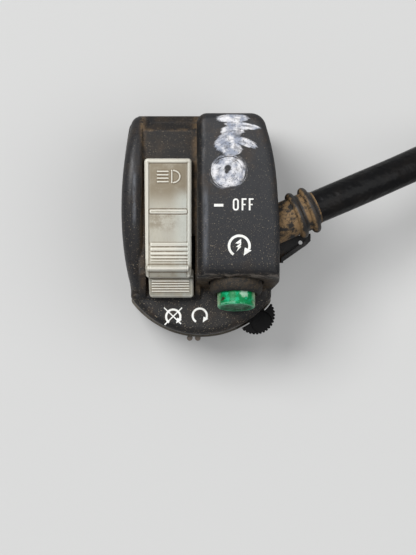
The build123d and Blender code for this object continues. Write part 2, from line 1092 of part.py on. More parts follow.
def make_slider_bridge():
    """The bent brass strip under the carriage that joins the board's contacts."""
    top = carriage_under
    dip_top = top - bridge_drop
    flat = bridge_width / 2
    points = [
        (carriage_low + bridge_wall, top),
        (detent_y - flat - bridge_slope, top),
        (detent_y - flat, dip_top),
        (detent_y + flat, dip_top),
        (detent_y + flat + bridge_slope, top),
        (carriage_high - bridge_wall, top),
    ]
    under = [(y, z - bridge_wall) for y, z in reversed(points)]
    with BuildPart() as slider_bridge:
        for x in bridge_xs:
            with BuildSketch(Plane.YZ.offset(x - flat)):
                with BuildLine():
                    Polyline(points + under, close=True)
                make_face()
            extrude(amount=bridge_width)
        add(
            slab(
                bridge_xs[0],
                bridge_xs[1],
                carriage_high - bridge_wall - bridge_width,
                carriage_high - bridge_wall,
                top - bridge_wall,
                top,
            )
        )
    save(slider_bridge.part, "slider_bridge")


def make_light_board():
    """The contact board under the deck, with its rivets and its two screws."""
    top = board_under + board_wall
    posts = [
        (board_left + board_post_inset, board_post_y),
        (board_right - board_post_inset, board_post_y),
    ]
    rivets = [(x, detent_y + step * slider_travel / 2) for x in bridge_xs for step in range(3)]
    shank = contact_radius / 2
    with BuildPart() as light_board:
        add(slab(board_left, board_right, board_low, board_high, board_under, top))
        for places, radius in ((posts, screw_radius), (rivets, shank)):
            add(
                upright(places, radius, board_under - overrun, top + overrun),
                mode=Mode.SUBTRACT,
            )
    save(light_board.part, "light_board")
    with BuildPart() as light_contacts:
        add(upright(rivets, shank, board_under, top))
        add(upright(rivets, contact_radius, top, top + contact_proud))
        add(upright(rivets, contact_radius, board_under - contact_proud, board_under))
    save(light_contacts.part, "light_contacts")
    with BuildPart() as board_screws:
        add(upright(posts, screw_radius, board_under, top + screw_grip))
        add(upright(posts, screw_head_radius, board_under - screw_head, board_under))
    save(board_screws.part, "board_screws")


def make_start_button():
    """The round green cap with its softened front edge and its hollow back."""
    with BuildPart() as start_button:
        add(button_tube(0, button_length, button_radius, 0))
        rims = start_button.edges().filter_by(GeomType.CIRCLE)
        fillet(rims.sort_by_distance(button_face)[0], button_edge)
        add(
            button_tube(button_face_wall, button_length + overrun, button_bore, 0),
            mode=Mode.SUBTRACT,
        )
        add(
            button_tube(
                button_face_wall - running_fit,
                button_face_wall + stem_socket,
                stem_radius + stem_socket_wall,
                0,
            )
        )
        add(
            button_tube(button_face_wall, button_face_wall + stem_socket, stem_radius, 0),
            mode=Mode.SUBTRACT,
        )
    save(start_button.part, "start_button")


def make_button_boot():
    """The rubber collar: a cone from the wall to the button, and a ring that seats in the wall."""
    inner = button_radius + loose_fit
    side = Plane(origin=button_face, x_dir=button_out * -1, z_dir=(-1, 0, 0))
    with BuildPart() as button_boot:
        with BuildSketch(side):
            with BuildLine():
                Polyline(
                    [
                        (boot_nose, inner),
                        (wall_inner, inner),
                        (wall_inner, boot_radius),
                        (boot_step, boot_radius),
                        (boot_nose, inner + boot_nose_wall),
                    ],
                    close=True,
                )
            make_face()
        revolve(axis=Axis(button_face, button_out * -1))
    save(button_boot.part, "button_boot")


def make_start_holder():
    """The cup behind the wall that guides the button, with arms that carry the contact base."""
    plate_far = wall_inner + holder_flange
    floor_far = holder_floor_near + holder_floor
    with BuildPart() as start_holder:
        with BuildSketch(button_plane(plate_far)):
            Rectangle(holder_plate_width, holder_plate_height)
        extrude(amount=holder_flange)
        add(button_tube(wall_inner, floor_far, holder_radius, 0))
        with BuildSketch(button_plane(base_near)):
            with Locations((holder_arm_reach, 0), (-holder_arm_reach, 0)):
                Rectangle(holder_arm_wall, holder_arm_width)
        extrude(amount=base_near - floor_far)
        add(
            button_tube(
                wall_inner - overrun, holder_floor_near, button_radius + running_fit, 0
            ),
            mode=Mode.SUBTRACT,
        )
        add(
            button_tube(wall_inner, floor_far + overrun, stem_radius + running_fit, 0),
            mode=Mode.SUBTRACT,
        )
        with BuildSketch(button_plane(plate_far + overrun)):
            with Locations((holder_screw_x, holder_screw_y)):
                Circle(screw_radius)
        extrude(amount=holder_flange + 2 * overrun, mode=Mode.SUBTRACT)
    save(start_holder.part, "start_holder")
    tip_plane = button_plane(wall_inner - wall / 2)
    with BuildPart() as holder_screw:
        add(
            screw(
                tip_plane.from_local_coords((holder_screw_x, holder_screw_y, 0)),
                button_out * -1,
                wall / 2 + holder_flange,
                screw_radius,
                screw_head_radius,
                screw_head,
                screw_slot_share,
            )
        )
    save(holder_screw.part, "holder_screw")


def make_start_switch():
    """The plunger, its spring and the contacts behind the button."""
    floor_far = holder_floor_near + holder_floor
    clip_near = floor_far + loose_fit
    with BuildPart() as start_stem:
        add(button_tube(button_face_wall, stem_length, stem_radius, 0))
    save(start_stem.part, "start_stem")
    with BuildPart() as start_clip:
        add(button_tube(clip_near, clip_near + clip_wall, clip_radius, stem_radius))
    save(start_clip.part, "start_clip")
    with BuildPart() as start_disc:
        add(button_tube(disc_near, disc_near + disc_wall, disc_radius, stem_radius))
    save(start_disc.part, "start_disc")
    with BuildPart() as start_base:
        add(
            button_tube(base_near, base_near + base_wall, base_radius, stem_radius + loose_fit)
        )
    save(start_base.part, "start_base")
    with BuildPart() as start_contacts:
        with BuildSketch(button_plane(base_near)):
            with Locations((0, pad_reach), (0, -pad_reach)):
                Circle(pad_radius)
        extrude(amount=pad_proud)
    save(start_contacts.part, "start_contacts")
    back = holder_floor_near - spring_wire / 2 - running_fit / 2
    front = button_face_wall + spring_wire / 2 + running_fit / 2
    with BuildPart() as start_return_spring:
        with BuildLine() as turns:
            Helix(
                pitch=(back - front) / spring_turns,
                height=back - front,
                radius=spring_radius,
                center=button_plane(back).origin,
                direction=button_out,
            )
        with BuildSketch(turns.line ^ 0):
            Circle(spring_wire / 2)
        sweep(is_frenet=True)
    save(start_return_spring.part, "start_return_spring")


def make_stop_slider():
    """The thumb piece: a shoe in the guide, a neck through the slot and a toothed pad outside."""
    clear = chin_radius + stop_pad_gap
    bearing = math.radians(stop_rest_angle)
    outward = Vector(math.cos(bearing), math.sin(bearing), 0)
    ball_x, ball_y = arc_place(stop_ball_reach, stop_rest_angle)
    bore = Plane(origin=(ball_x, ball_y, stop_level), z_dir=outward)
    with BuildPart() as stop_slider:
        with BuildSketch(Plane.XY.offset(stop_pad_low)):
            with Locations(arc_place(stop_pad_reach, stop_rest_angle)):
                Circle(stop_pad_radius)
                with PolarLocations(stop_pad_radius, stop_tooth_count):
                    Circle(stop_tooth)
            with Locations((arc_x, arc_y)):
                Circle(clear, mode=Mode.SUBTRACT)
        extrude(amount=stop_high - stop_pad_low)
        for inner, outer, half in (
            (stop_shoe_inner, stop_shoe_outer, stop_shoe_half),
            (stop_shoe_inner + wall, clear + wall, stop_neck_half),
        ):
            start = stop_rest_angle - half
            end = stop_rest_angle + half
            add(arc_sector(inner, outer, start, end, stop_low, stop_high))
        add(
            upright(
                [arc_place(stop_pad_reach + stop_pad_radius / 2, stop_rest_angle)],
                stop_dish_radius,
                stop_high - stop_dish_depth,
                stop_high + overrun,
            ),
            mode=Mode.SUBTRACT,
        )
        with BuildSketch(bore.offset(-overrun)):
            Circle(stop_ball_radius + running_fit)
        extrude(amount=stop_spring_end - stop_ball_reach + overrun, mode=Mode.SUBTRACT)
    save(stop_slider.part, "stop_slider")
    with BuildPart() as stop_detent_ball:
        with Locations((ball_x, ball_y, stop_level)):
            Sphere(stop_ball_radius)
    save(stop_detent_ball.part, "stop_detent_ball")
    with BuildPart() as stop_detent_spring:
        with BuildSketch(bore):
            Circle(stop_ball_radius)
            Circle(stop_ball_radius / 2, mode=Mode.SUBTRACT)
        extrude(amount=stop_spring_end - stop_ball_reach)
        with Locations((ball_x, ball_y, stop_level)):
            Sphere(stop_ball_radius, mode=Mode.SUBTRACT)
    save(stop_detent_spring.part, "stop_detent_spring")
    with BuildPart() as stop_bridge:
        add(
            arc_sector(
                stop_shoe_inner + wall / 2,
                stop_shoe_outer - wall / 2,
                stop_rest_angle - stop_neck_half,
                stop_rest_angle + stop_neck_half,
                stop_low - bridge_wall,
                stop_low,
            )
        )
    save(stop_bridge.part, "stop_bridge")


def make_stop_plate():
    """The plate under the shoe, with its contacts and its two screws."""
    posts = [arc_place(plate_post_reach, angle) for angle in plate_post_angles]
    reach = (stop_shoe_inner + stop_shoe_outer) / 2
    pads = [
        arc_place(reach, stop_rest_angle - share * stop_travel) for share in stop_pad_shares
    ]
    low = stop_floor - plate_wall
    with BuildPart() as stop_guide_plate:
        add(arc_sector(plate_inner, plate_outer, plate_start, plate_end, low, stop_floor))
        extrude(
            casing_plan(chin_radius - seam_step, wall + loose_fit),
            amount=stop_floor,
            mode=Mode.INTERSECT,
        )
        add(upright(posts, screw_radius, low - overrun, stop_floor), mode=Mode.SUBTRACT)
        add(upright(pads, contact_radius, low + plate_wall / 2, stop_floor), mode=Mode.SUBTRACT)
    save(stop_guide_plate.part, "stop_guide_plate")
    with BuildPart() as stop_contacts:
        add(upright(pads, contact_radius, low + plate_wall / 2, stop_floor))
    save(stop_contacts.part, "stop_contacts")
    with BuildPart() as stop_plate_screws:
        add(upright(posts, screw_radius, low, stop_floor + screw_grip))
        add(upright(posts, screw_head_radius, low - screw_head, low))
    save(stop_plate_screws.part, "stop_plate_screws")


def make_cable_grommet():
    """The strain relief: a bush with two rounded rings and a tapered end."""
    side = Plane(
        origin=grommet_seat,
        x_dir=grommet_way,
        z_dir=(math.sin(turn), -math.cos(turn), 0),
    )
    with BuildPart() as cable_grommet:
        with BuildSketch(side):
            with BuildLine():
                Polyline(
                    [
                        (-grommet_inside, grommet_bore),
                        (grommet_length, grommet_bore),
                        (grommet_length, grommet_end_radius),
                        (ring_places[1], grommet_radius),
                        (-grommet_inside, grommet_radius),
                    ],
                    close=True,
                )
            make_face()
            for place in ring_places:
                with Locations((place, ring_middle)):
                    SlotOverall(2 * (ring_radius - ring_middle), ring_wall, rotation=90)
        revolve(axis=Axis(grommet_seat, grommet_way))
    save(cable_grommet.part, "cable_grommet")


def make_cable_guard():
    """The bent bracket below the grommet: a tab on the side wall and a lipped tongue."""
    root_x = casing_right + guard_wall / 2
    slant_x = guard_tip_x - guard_wall
    rise = guard_tip_low - guard_root_low
    lip_step = guard_wall * math.hypot(rise, slant_x - root_x) / (slant_x - root_x)
    top = guard_level + guard_wall
    with BuildPart() as cable_guard:
        add(
            slab(
                casing_right,
                casing_right + guard_wall,
                guard_tab_low,
                guard_tab_high,
                top - guard_tab_drop,
                top,
            )
        )
        with BuildSketch(Plane.XY.offset(guard_level)):
            with BuildLine():
                Polyline(
                    [
                        (root_x, guard_root_low),
                        (slant_x, guard_tip_low),
                        (guard_tip_x, guard_tip_low + guard_wall),
                        (guard_tip_x, guard_tip_y),
                        (root_x, guard_root_high),
                    ],
                    close=True,
                )
            make_face()
        extrude(amount=guard_wall)
        with BuildSketch(Plane.XY.offset(guard_level)):
            with BuildLine():
                Polyline(
                    [
                        (root_x, guard_root_low),
                        (slant_x, guard_tip_low),
                        (slant_x, guard_tip_low + lip_step),
                        (root_x, guard_root_low + lip_step),
                    ],
                    close=True,
                )
            make_face()
        extrude(amount=guard_lip)
        with BuildSketch(Plane.XY.offset(guard_level)):
            with Locations((guard_hole_x, guard_hole_y)):
                Circle(guard_hole_radius)
        extrude(amount=guard_lip + overrun, mode=Mode.SUBTRACT)
        with BuildSketch(Plane.YZ.offset(casing_right)):
            with Locations((guard_screw_y, guard_screw_z)):
                Circle(screw_radius)
        extrude(amount=guard_wall + overrun, mode=Mode.SUBTRACT)
    save(cable_guard.part, "cable_guard")
    with BuildPart() as guard_screw:
        add(
            screw(
                (casing_right - guard_boss_depth, guard_screw_y, guard_screw_z),
                (1, 0, 0),
                guard_boss_depth + guard_wall,
                screw_radius,
                screw_head_radius,
                screw_head,
                screw_slot_share,
            )
        )
    save(guard_screw.part, "guard_screw")


def make_inner_wires():
    """The three wires from the contact board through the grommet to the loom."""
    level = board_under + board_wall / 2
    aside = Vector(-math.sin(turn), math.cos(turn), 0)
    with BuildPart() as inner_wires:
        for step in (-1, 0, 1):
            mouth = grommet_back + aside * (step * wire_pitch)
            wire_high = wire_y + step * wire_pitch
            with BuildLine() as route:
                FilletPolyline(
                    (board_right, wire_high, level),
                    (wire_turn_x, wire_high, level),
                    mouth - grommet_way * wire_lead,
                    mouth + grommet_way * (grommet_inside + grommet_length),
                    radius=wire_bend,
                )
            with BuildSketch(route.line ^ 0):
                Circle(wire_radius)
            sweep()
    save(inner_wires.part, "inner_wires")


def make_loom_stretch():
    """The loom from the grommet down to the surface, in straight runs and tangent arcs."""
    radii = []
    for before, here, after in zip(loom_route, loom_route[1:], loom_route[2:]):
        half = math.radians((here - before).get_angle(after - here)) / 2
        shorter = min((here - before).length, (after - here).length)
        radii.append(bend_share * shorter / math.tan(half))
    print("loom bend radii", [round(radius, 1) for radius in radii])
    with BuildPart() as loom_stretch:
        with BuildLine() as route:
            FilletPolyline(*loom_route, radius=radii)
        with BuildSketch(route.line ^ 0):
            Circle(loom_radius)
        sweep()
    length = route.wires()[0].length
    section = math.pi * loom_radius**2
    print("loom stretch length", length, "volume share", loom_stretch.part.volume / length / section)
    save(loom_stretch.part, "loom_stretch")


def coil_arcs():
    """The coil's arcs as (centre, radius, first angle, turn) tuples, and where the last ends."""
    before, last = loom_route[-2:]
    heading = math.atan2(last.Y - before.Y, last.X - before.X)
    x = last.X + coil_lead * math.cos(heading)
    y = last.Y + coil_lead * math.sin(heading)
    arcs = []
    for number in range(coil_half_turns + 1):
        hook = number == coil_half_turns
        radius = coil_hook_radius if hook else coil_radius - number * coil_pitch / 2
        sweep_angle = math.pi / 2 + heading % math.pi if hook else math.pi
        centre_x = x + radius * math.sin(heading)
        centre_y = y - radius * math.cos(heading)
        arcs.append((centre_x, centre_y, radius, heading + math.pi / 2, sweep_angle))
        heading -= sweep_angle
        x = centre_x + radius * math.cos(heading + math.pi / 2)
        y = centre_y + radius * math.sin(heading + math.pi / 2)
    return arcs, (x, y, heading)


def print_coil_gap(arcs):
    """Print the least gap between turns of the coil, measured on points along its middle."""
    points = []
    for centre_x, centre_y, radius, first, sweep_angle in arcs:
        for part in range(coil_samples):
            angle = first - sweep_angle * part / coil_samples
            points.append(
                (centre_x + radius * math.cos(angle), centre_y + radius * math.sin(angle))
            )
    spacing = coil_samples // 2
    least = min(
        math.dist(points[i], points[j])
        for i in range(len(points))
        for j in range(i + spacing, len(points))
    )
    print("coil least gap to itself", round(least - 2 * loom_radius, 2))


def make_loom_coil():
    """The unseen length of the loom, wound flat on the surface, with its tie and its plug."""
    arcs, (end_x, end_y, heading) = coil_arcs()
    print_coil_gap(arcs)
    first_x, first_y, first_radius, first_angle, _ = arcs[0]
    start = Vector(first_x, first_y) + Vector(first_radius).rotate(
        Axis.Z, math.degrees(first_angle)
    )
    way = Vector(1, 0).rotate(Axis.Z, math.degrees(first_angle) - 90)
    out = Vector(math.cos(heading), math.sin(heading))
    finish = Vector(end_x, end_y) + out * coil_lead
    with BuildPart() as loom_coil:
        with BuildLine(Plane.XY.offset(loom_rest)) as route:
            Line((loom_route[-1].X, loom_route[-1].Y), (start.X, start.Y))
            place = start
            heading_now = way
            for _, _, radius, _, sweep_angle in arcs:
                arc = JernArc(
                    start=(place.X, place.Y),
                    tangent=(heading_now.X, heading_now.Y),
                    radius=radius,
                    arc_size=-math.degrees(sweep_angle),
                )
                place = arc @ 1
                heading_now = arc % 1
            Line((place.X, place.Y), (finish.X, finish.Y))
        with BuildSketch(route.line ^ 0):
            Circle(loom_radius)
        sweep()
    length = route.wires()[0].length
    section = math.pi * loom_radius**2
    print("loom coil length", length, "volume share", loom_coil.part.volume / length / section)
    save(loom_coil.part, "loom_coil")
    # Tie round the two strands that run side by side
    reach = coil_radius - coil_pitch / 2
    across = way
    along = Vector(0, 0, 1).cross(across)
    middle = Vector(first_x, first_y, loom_rest) + across * reach
    inner_length = coil_pitch + 2 * (loom_radius + tie_fit)
    with BuildPart() as loom_tie:
        with BuildSketch(Plane(origin=middle, x_dir=across, z_dir=along)):
            SlotOverall(inner_length + 2 * tie_wall, 2 * (loom_radius + tie_fit + tie_wall))
            SlotOverall(inner_length, 2 * (loom_radius + tie_fit), mode=Mode.SUBTRACT)
        extrude(amount=tie_width / 2, both=True)
    save(loom_tie.part, "loom_tie")
    make_connector(Vector(finish.X, finish.Y, loom_rest), out)


def make_connector(seat, out):
    """The plug on the loom's end: a rubber seal, a housing with its socket, and the pins."""
    root = Plane(origin=seat, x_dir=(0, 0, 1), z_dir=out)
    with BuildPart() as connector_seal:
        with BuildSketch(root):
            Circle(seal_radius)
        extrude(amount=seal_length)
    save(connector_seal.part, "connector_seal")
    floor = root.offset(seal_length + plug_length - plug_depth)
    columns = (pin_columns - 1) / 2
    rows = (pin_rows - 1) / 2
    places = [
        (pin_pitch * (row - rows), pin_pitch * (column - columns))
        for row in range(pin_rows)
        for column in range(pin_columns)
    ]
    with BuildPart() as connector_pins:
        with BuildSketch(floor.offset(-pin_root)):
            with Locations(*places):
                Rectangle(pin_width, pin_width)
        extrude(amount=pin_root + pin_length)
    with BuildPart() as connector_housing:
        with BuildSketch(root.offset(seal_length)):
            Rectangle(plug_height, plug_width)
        extrude(amount=plug_length)
        fillet(connector_housing.edges().filter_by(Axis((0, 0, 0), out)), plug_round)
        with BuildSketch(floor):
            Rectangle(plug_height - 2 * plug_wall, plug_width - 2 * plug_wall)
        extrude(amount=plug_depth, mode=Mode.SUBTRACT)
        add(connector_pins.part, mode=Mode.SUBTRACT)
    save(connector_housing.part, "connector_housing")
    save(connector_pins.part, "connector_pins")


make_front_casing()
make_rear_casing()
make_clamp_screws()
make_light_slider()
make_slider_carriage()
make_slider_bridge()
make_light_board()
make_start_button()
make_button_boot()
make_start_holder()
make_start_switch()
make_stop_slider()
make_stop_plate()
make_cable_grommet()
make_cable_guard()
make_inner_wires()
make_loom_stretch()
make_loom_coil()
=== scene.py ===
import bmesh
import bpy
import logging
import math
import numpy as np
from collections.abc import Callable
from dataclasses import dataclass, field
from enum import Enum
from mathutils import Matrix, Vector


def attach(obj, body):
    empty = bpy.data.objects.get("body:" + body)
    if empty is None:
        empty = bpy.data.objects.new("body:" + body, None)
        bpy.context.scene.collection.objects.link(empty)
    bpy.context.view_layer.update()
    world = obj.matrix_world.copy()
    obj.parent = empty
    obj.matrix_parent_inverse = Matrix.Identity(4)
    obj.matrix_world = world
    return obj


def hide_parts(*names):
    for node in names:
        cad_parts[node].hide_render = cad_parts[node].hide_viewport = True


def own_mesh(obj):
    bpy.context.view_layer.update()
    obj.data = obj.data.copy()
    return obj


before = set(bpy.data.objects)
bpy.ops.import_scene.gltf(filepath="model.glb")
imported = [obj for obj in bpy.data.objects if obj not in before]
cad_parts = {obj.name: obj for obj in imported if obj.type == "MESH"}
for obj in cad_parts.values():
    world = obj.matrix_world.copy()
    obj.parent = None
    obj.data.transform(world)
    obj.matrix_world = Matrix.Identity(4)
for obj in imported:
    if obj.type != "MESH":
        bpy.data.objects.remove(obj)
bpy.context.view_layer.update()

log = logging.getLogger("switch_cluster")
MM = 0.001
# (x, y), (x, y, z) and (left, right, low, high), in millimetres where nothing else is said
Pair = tuple[float, float]
Triple = tuple[float, float, float]
Box = tuple[float, float, float, float]
Material = bpy.types.Material
Piece = bpy.types.Object
# What a shader input takes: a node's output, a number or a colour
Value = bpy.types.NodeSocket | float | tuple
Array = np.ndarray


def srgb(code: str) -> tuple[float, float, float, float]:
    """Turn an sRGB hex colour into linear values.

    Args:
        code: the colour, such as "#2b2a29".

    Returns:
        Linear red, green, blue and an alpha of one.
    """
    parts = [int(code[i : i + 2], 16) / 255 for i in (1, 3, 5)]
    linear = [c / 12.92 if c <= 0.04045 else ((c + 0.055) / 1.055) ** 2.4 for c in parts]
    return (*linear, 1.0)


def make_piece(name: str, bm: bmesh.types.BMesh, material: Material) -> Piece:
    """Turn a bmesh into an object in the scene.

    Args:
        name: the object's name.
        bm: the bmesh, which is freed.
        material: its finish.

    Returns:
        The object.
    """
    mesh = bpy.data.meshes.new(name)
    bm.to_mesh(mesh)
    bm.free()
    mesh.materials.append(material)
    piece = bpy.data.objects.new(name, mesh)
    bpy.context.scene.collection.objects.link(piece)
    return piece


def heading(angle: float) -> Vector:
    """The level direction at an angle.

    Args:
        angle: in radians from x.

    Returns:
        The unit vector.
    """
    return Vector((math.cos(angle), math.sin(angle), 0))


class Ride(Enum):
    """The bodies that the made pieces ride on."""

    HOUSING = "housing"
    LIGHT = "light_switch"


@dataclass(frozen=True)
class CameraView:
    """Where the camera stands: straight above the switch face, as in the photograph."""

    centre_x: float = 2.34 * MM
    centre_y: float = -18.9 * MM
    level: float = 20.0 * MM
    distance: float = 1.2
    picture_high: float = 162.6 * MM
    sensor_high: float = 24.0

    def build(self) -> Piece:
        """Make the camera and set it as the scene's.

        Returns:
            The camera object.
        """
        data = bpy.data.cameras.new("camera")
        data.sensor_fit = "VERTICAL"
        data.sensor_height = self.sensor_high
        data.lens = self.sensor_high * self.distance / self.picture_high
        data.clip_end = 10.0
        camera = bpy.data.objects.new("camera", data)
        bpy.context.scene.collection.objects.link(camera)
        camera.location = (self.centre_x, self.centre_y, self.level + self.distance)
        bpy.context.scene.camera = camera
        return camera


@dataclass(frozen=True)
class Loom:
    """The loom's route: the same points as the solid model's tube, then the coil's turns."""

    radius: float = 4.8 * MM
    stretch: tuple[Triple, ...] = (
        (34.1209, 1.7205, 18.0021), (45.971, 6.7506, 16.1928), (58.17, 12.08, 11.9),
        (69.33, 17.10, 5.1), (80.06, 21.87, -2.8), (91.83, 26.87, -8.7),
        (104.57, 32.02, -11.35), (116.67, 36.78, -11.35),
    )
    coil_radius: float = 52.0 * MM
    coil_pitch: float = 10.6 * MM
    half_turns: int = 3
    hook_radius: float = 28.0 * MM
    lead: float = 9.6 * MM
    points_per_half: int = 10
    length: float = 0.6098
    swell: float = 0.02
    swell_step: float = 2.4

    def route(self) -> list[Vector]:
        """Work out the middle line of the whole loom.

        Returns:
            The points, in metres, from the grommet to the plug.
        """
        points = [Vector(p) * MM for p in self.stretch]
        way = points[-1] - points[-2]
        turn = math.atan2(way.y, way.x)
        level = points[-1].z
        place = points[-1] + heading(turn) * self.lead
        for number in range(self.half_turns + 1):
            hook = number == self.half_turns
            radius = self.hook_radius if hook else self.coil_radius - number * self.coil_pitch / 2
            sweep = math.pi / 2 + turn % math.pi if hook else math.pi
            steps = max(4, round(self.points_per_half * sweep / math.pi))
            centre = place + heading(turn - math.pi / 2) * radius
            outer = radius / math.cos(sweep / steps / 2)
            first = turn + math.pi / 2
            points += [centre + heading(first - sweep * (k + 0.5) / steps) * outer for k in range(steps)]
            turn -= sweep
            place = centre + heading(turn + math.pi / 2) * radius
        place += heading(turn) * self.lead
        points.append(Vector((place.x, place.y, level)))
        return points

    def build(self, material: Material) -> Piece:
        """Make the loom as one tube along the route.

        Args:
            material: the sleeve's finish.

        Returns:
            The curve object.
        """
        data = bpy.data.curves.new("loom", "CURVE")
        data.dimensions = "3D"
        data.bevel_depth = self.radius
        data.bevel_resolution = 6
        data.resolution_u = 8
        data.use_fill_caps = True
        route = self.route()
        spline = data.splines.new("NURBS")
        spline.points.add(len(route) - 1)
        for number, point in enumerate(route):
            spline.points[number].co = (point.x, point.y, point.z, 1.0)
            spline.points[number].radius = 1.0 + self.swell * math.sin(number * self.swell_step)
        spline.order_u = 3
        spline.use_endpoint_u = True
        spline.use_smooth = True
        loom = bpy.data.objects.new("loom", data)
        bpy.context.scene.collection.objects.link(loom)
        data.materials.append(material)
        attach(loom, Ride.HOUSING.value)
        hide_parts("loom_stretch", "loom_coil")
        return loom


@dataclass(frozen=True)
class Fade:
    """A soft limit along one measure, in millimetres. With a middle, the distance from it counts."""

    measure: str
    low: float
    high: float
    bottom: float = 0.0
    top: float = 1.0
    middle: float | None = None


@dataclass(frozen=True)
class Cloud:
    """A noise pattern, in millimetres, that breaks a layer up."""

    size: float
    detail: float
    low: float
    high: float
    bottom: float = 0.0
    top: float = 1.0
    rough: float = 0.7
    stretch: Triple = (1, 1, 1)


@dataclass(frozen=True)
class Layer:
    """A coat of colour, its strength and the masks that are multiplied for its shape."""

    colour: str
    share: float
    masks: tuple[Fade | Cloud, ...]


class Graph:
    """A small helper that builds a material's shader graph. Its measures are kept in at, by name."""

    def __init__(self, name: str) -> None:
        """Start an empty material.

        Args:
            name: the real material's name.
        """
        self.material = bpy.data.materials.new(name)
        self.material.use_nodes = True
        self.tree = self.material.node_tree
        self.tree.nodes.clear()
        self.shader = self.add("ShaderNodeBsdfPrincipled")
        output = self.add("ShaderNodeOutputMaterial")
        self.tree.links.new(self.shader.outputs[0], output.inputs[0])
        self.place = self.add("ShaderNodeTexCoord").outputs["Object"]
        self.at = {}

    def fill(self, node: bpy.types.Node, inputs: dict) -> None:
        """Link or set a node's inputs.

        Args:
            node: the node.
            inputs: the value of each input.
        """
        for name, value in inputs.items():
            if isinstance(value, bpy.types.NodeSocket):
                self.tree.links.new(value, node.inputs[name])
            else:
                node.inputs[name].default_value = value

    def add(self, kind: str, inputs: dict | None = None, **settings) -> bpy.types.Node:
        """Add a node, set its properties and fill its inputs.

        Args:
            kind: the node's type.
            inputs: as in fill.
            **settings: its properties.

        Returns:
            The node.
        """
        node = self.tree.nodes.new(kind)
        for name, value in settings.items():
            setattr(node, name, value)
        self.fill(node, inputs or {})
        return node

    def noise(
        self, size: float, detail: float = 3.0, rough: float = 0.6, stretch: Triple = (1, 1, 1)
    ) -> Value:
        """Add a noise pattern.

        Args:
            size: the pattern's scale in millimetres.
            detail: how many finer layers it has.
            rough: how strong the finer layers are.
            stretch: how far it is drawn out along x, y and z.

        Returns:
            The socket, about 0 to 1.
        """
        mapping = self.add("ShaderNodeMapping", {"Vector": self.place, "Scale": [1 / s for s in stretch]})
        scale = 1 / (size * MM)
        values = {"Vector": mapping.outputs[0], "Scale": scale, "Detail": detail, "Roughness": rough}
        return self.add("ShaderNodeTexNoise", values).outputs[0]

    def ramp(self, value: Value, low: float, high: float, bottom: float = 0.0, top: float = 1.0) -> Value:
        """Map a value to another range, clamped, with soft ends.

        Args:
            value: the socket to map.
            low: the value that gives bottom.
            high: the value that gives top.
            bottom: the least result.
            top: the greatest result.

        Returns:
            The socket.
        """
        names = ("Value", "From Min", "From Max", "To Min", "To Max")
        inputs = dict(zip(names, (value, low, high, bottom, top)))
        return self.add("ShaderNodeMapRange", inputs, interpolation_type="SMOOTHSTEP").outputs[0]

    def math(self, operation: str, first: Value, second: Value = 0.0) -> Value:
        """Combine two values.

        Args:
            operation: the arithmetic, such as "ADD".
            first: a socket or number.
            second: a socket or number.

        Returns:
            The socket.
        """
        return self.add("ShaderNodeMath", {0: first, 1: second}, operation=operation).outputs[0]

    def mix(self, share: Value, first: Value, second: Value) -> Value:
        """Mix two colours.

        Args:
            share: how much of the second shows.
            first: a colour or socket.
            second: a colour or socket.

        Returns:
            The socket.
        """
        return self.add("ShaderNodeMix", {0: share, 6: first, 7: second}, data_type="RGBA").outputs[2]

    def axis(self, name: str) -> Value:
        """Read one object coordinate, in millimetres.

        Args:
            name: "X", "Y" or "Z".

        Returns:
            The socket.
        """
        return self.times(self.add("ShaderNodeSeparateXYZ", {0: self.place}).outputs[name], 1 / MM)

    def rounded_box(self, middle: Pair, half: Pair) -> Value:
        """Measure the distance to an upright box seen from above.

        Args:
            middle: the box's centre.
            half: half of its sides.

        Returns:
            The socket: millimetres outside the box, negative inside.
        """
        sides = [
            self.math("SUBTRACT", self.off(self.axis(name), centre), reach)
            for name, centre, reach in zip("XY", middle, half)
        ]
        return self.math("MAXIMUM", *sides)

    def distance(self, point: Triple) -> Value:
        """Measure the distance to a point.

        Args:
            point: the point.

        Returns:
            The socket, in millimetres.
        """
        point = [c * MM for c in point]
        node = self.add("ShaderNodeVectorMath", {0: self.place, 1: point}, operation="DISTANCE")
        return self.times(node.outputs["Value"], 1 / MM)

    def along(self, start: Triple, way: Triple) -> Value:
        """Measure the way along a direction.

        Args:
            start: where the measure starts.
            way: the direction, of length one.

        Returns:
            The socket, in millimetres.
        """
        node = self.add("ShaderNodeVectorMath", {0: self.place, 1: way}, operation="DOT_PRODUCT")
        reach = sum(a * b for a, b in zip(start, way))
        return self.math("SUBTRACT", self.times(node.outputs["Value"], 1 / MM), reach)

    def off_axis(self, point: Triple, way: Triple) -> Value:
        """Measure the distance from a line.

        Args:
            point: a point on the line, in millimetres.
            way: the line's unit direction.

        Returns:
            The socket, in millimetres.
        """
        whole = self.distance(point)
        part = self.along(point, way)
        square = self.math("SUBTRACT", self.times(whole, whole), self.times(part, part))
        return self.math("SQRT", self.math("MAXIMUM", square, 0.0))

    def off(self, value: Value, middle: float) -> Value:
        """Measure how far a value lies from another.

        Args:
            value: the socket.
            middle: the other value.

        Returns:
            The socket.
        """
        return self.math("ABSOLUTE", self.math("SUBTRACT", value, middle))

    def times(self, *values: Value) -> Value:
        """Multiply values.

        Args:
            *values: sockets or numbers.

        Returns:
            The product's socket.
        """
        product = values[0]
        for value in values[1:]:
            product = self.math("MULTIPLY", product, value)
        return product

    def mask(self, *masks: Fade | Cloud) -> Value:
        """Multiply masks.

        Args:
            *masks: the limits and noise patterns.

        Returns:
            The socket, 0 to 1.
        """
        values = []
        for part in masks:
            if isinstance(part, Cloud):
                value = self.noise(part.size, part.detail, part.rough, part.stretch)
            elif part.middle is None:
                value = self.at[part.measure]
            else:
                value = self.off(self.at[part.measure], part.middle)
            values.append(self.ramp(value, part.low, part.high, part.bottom, part.top))
        return self.times(*values)

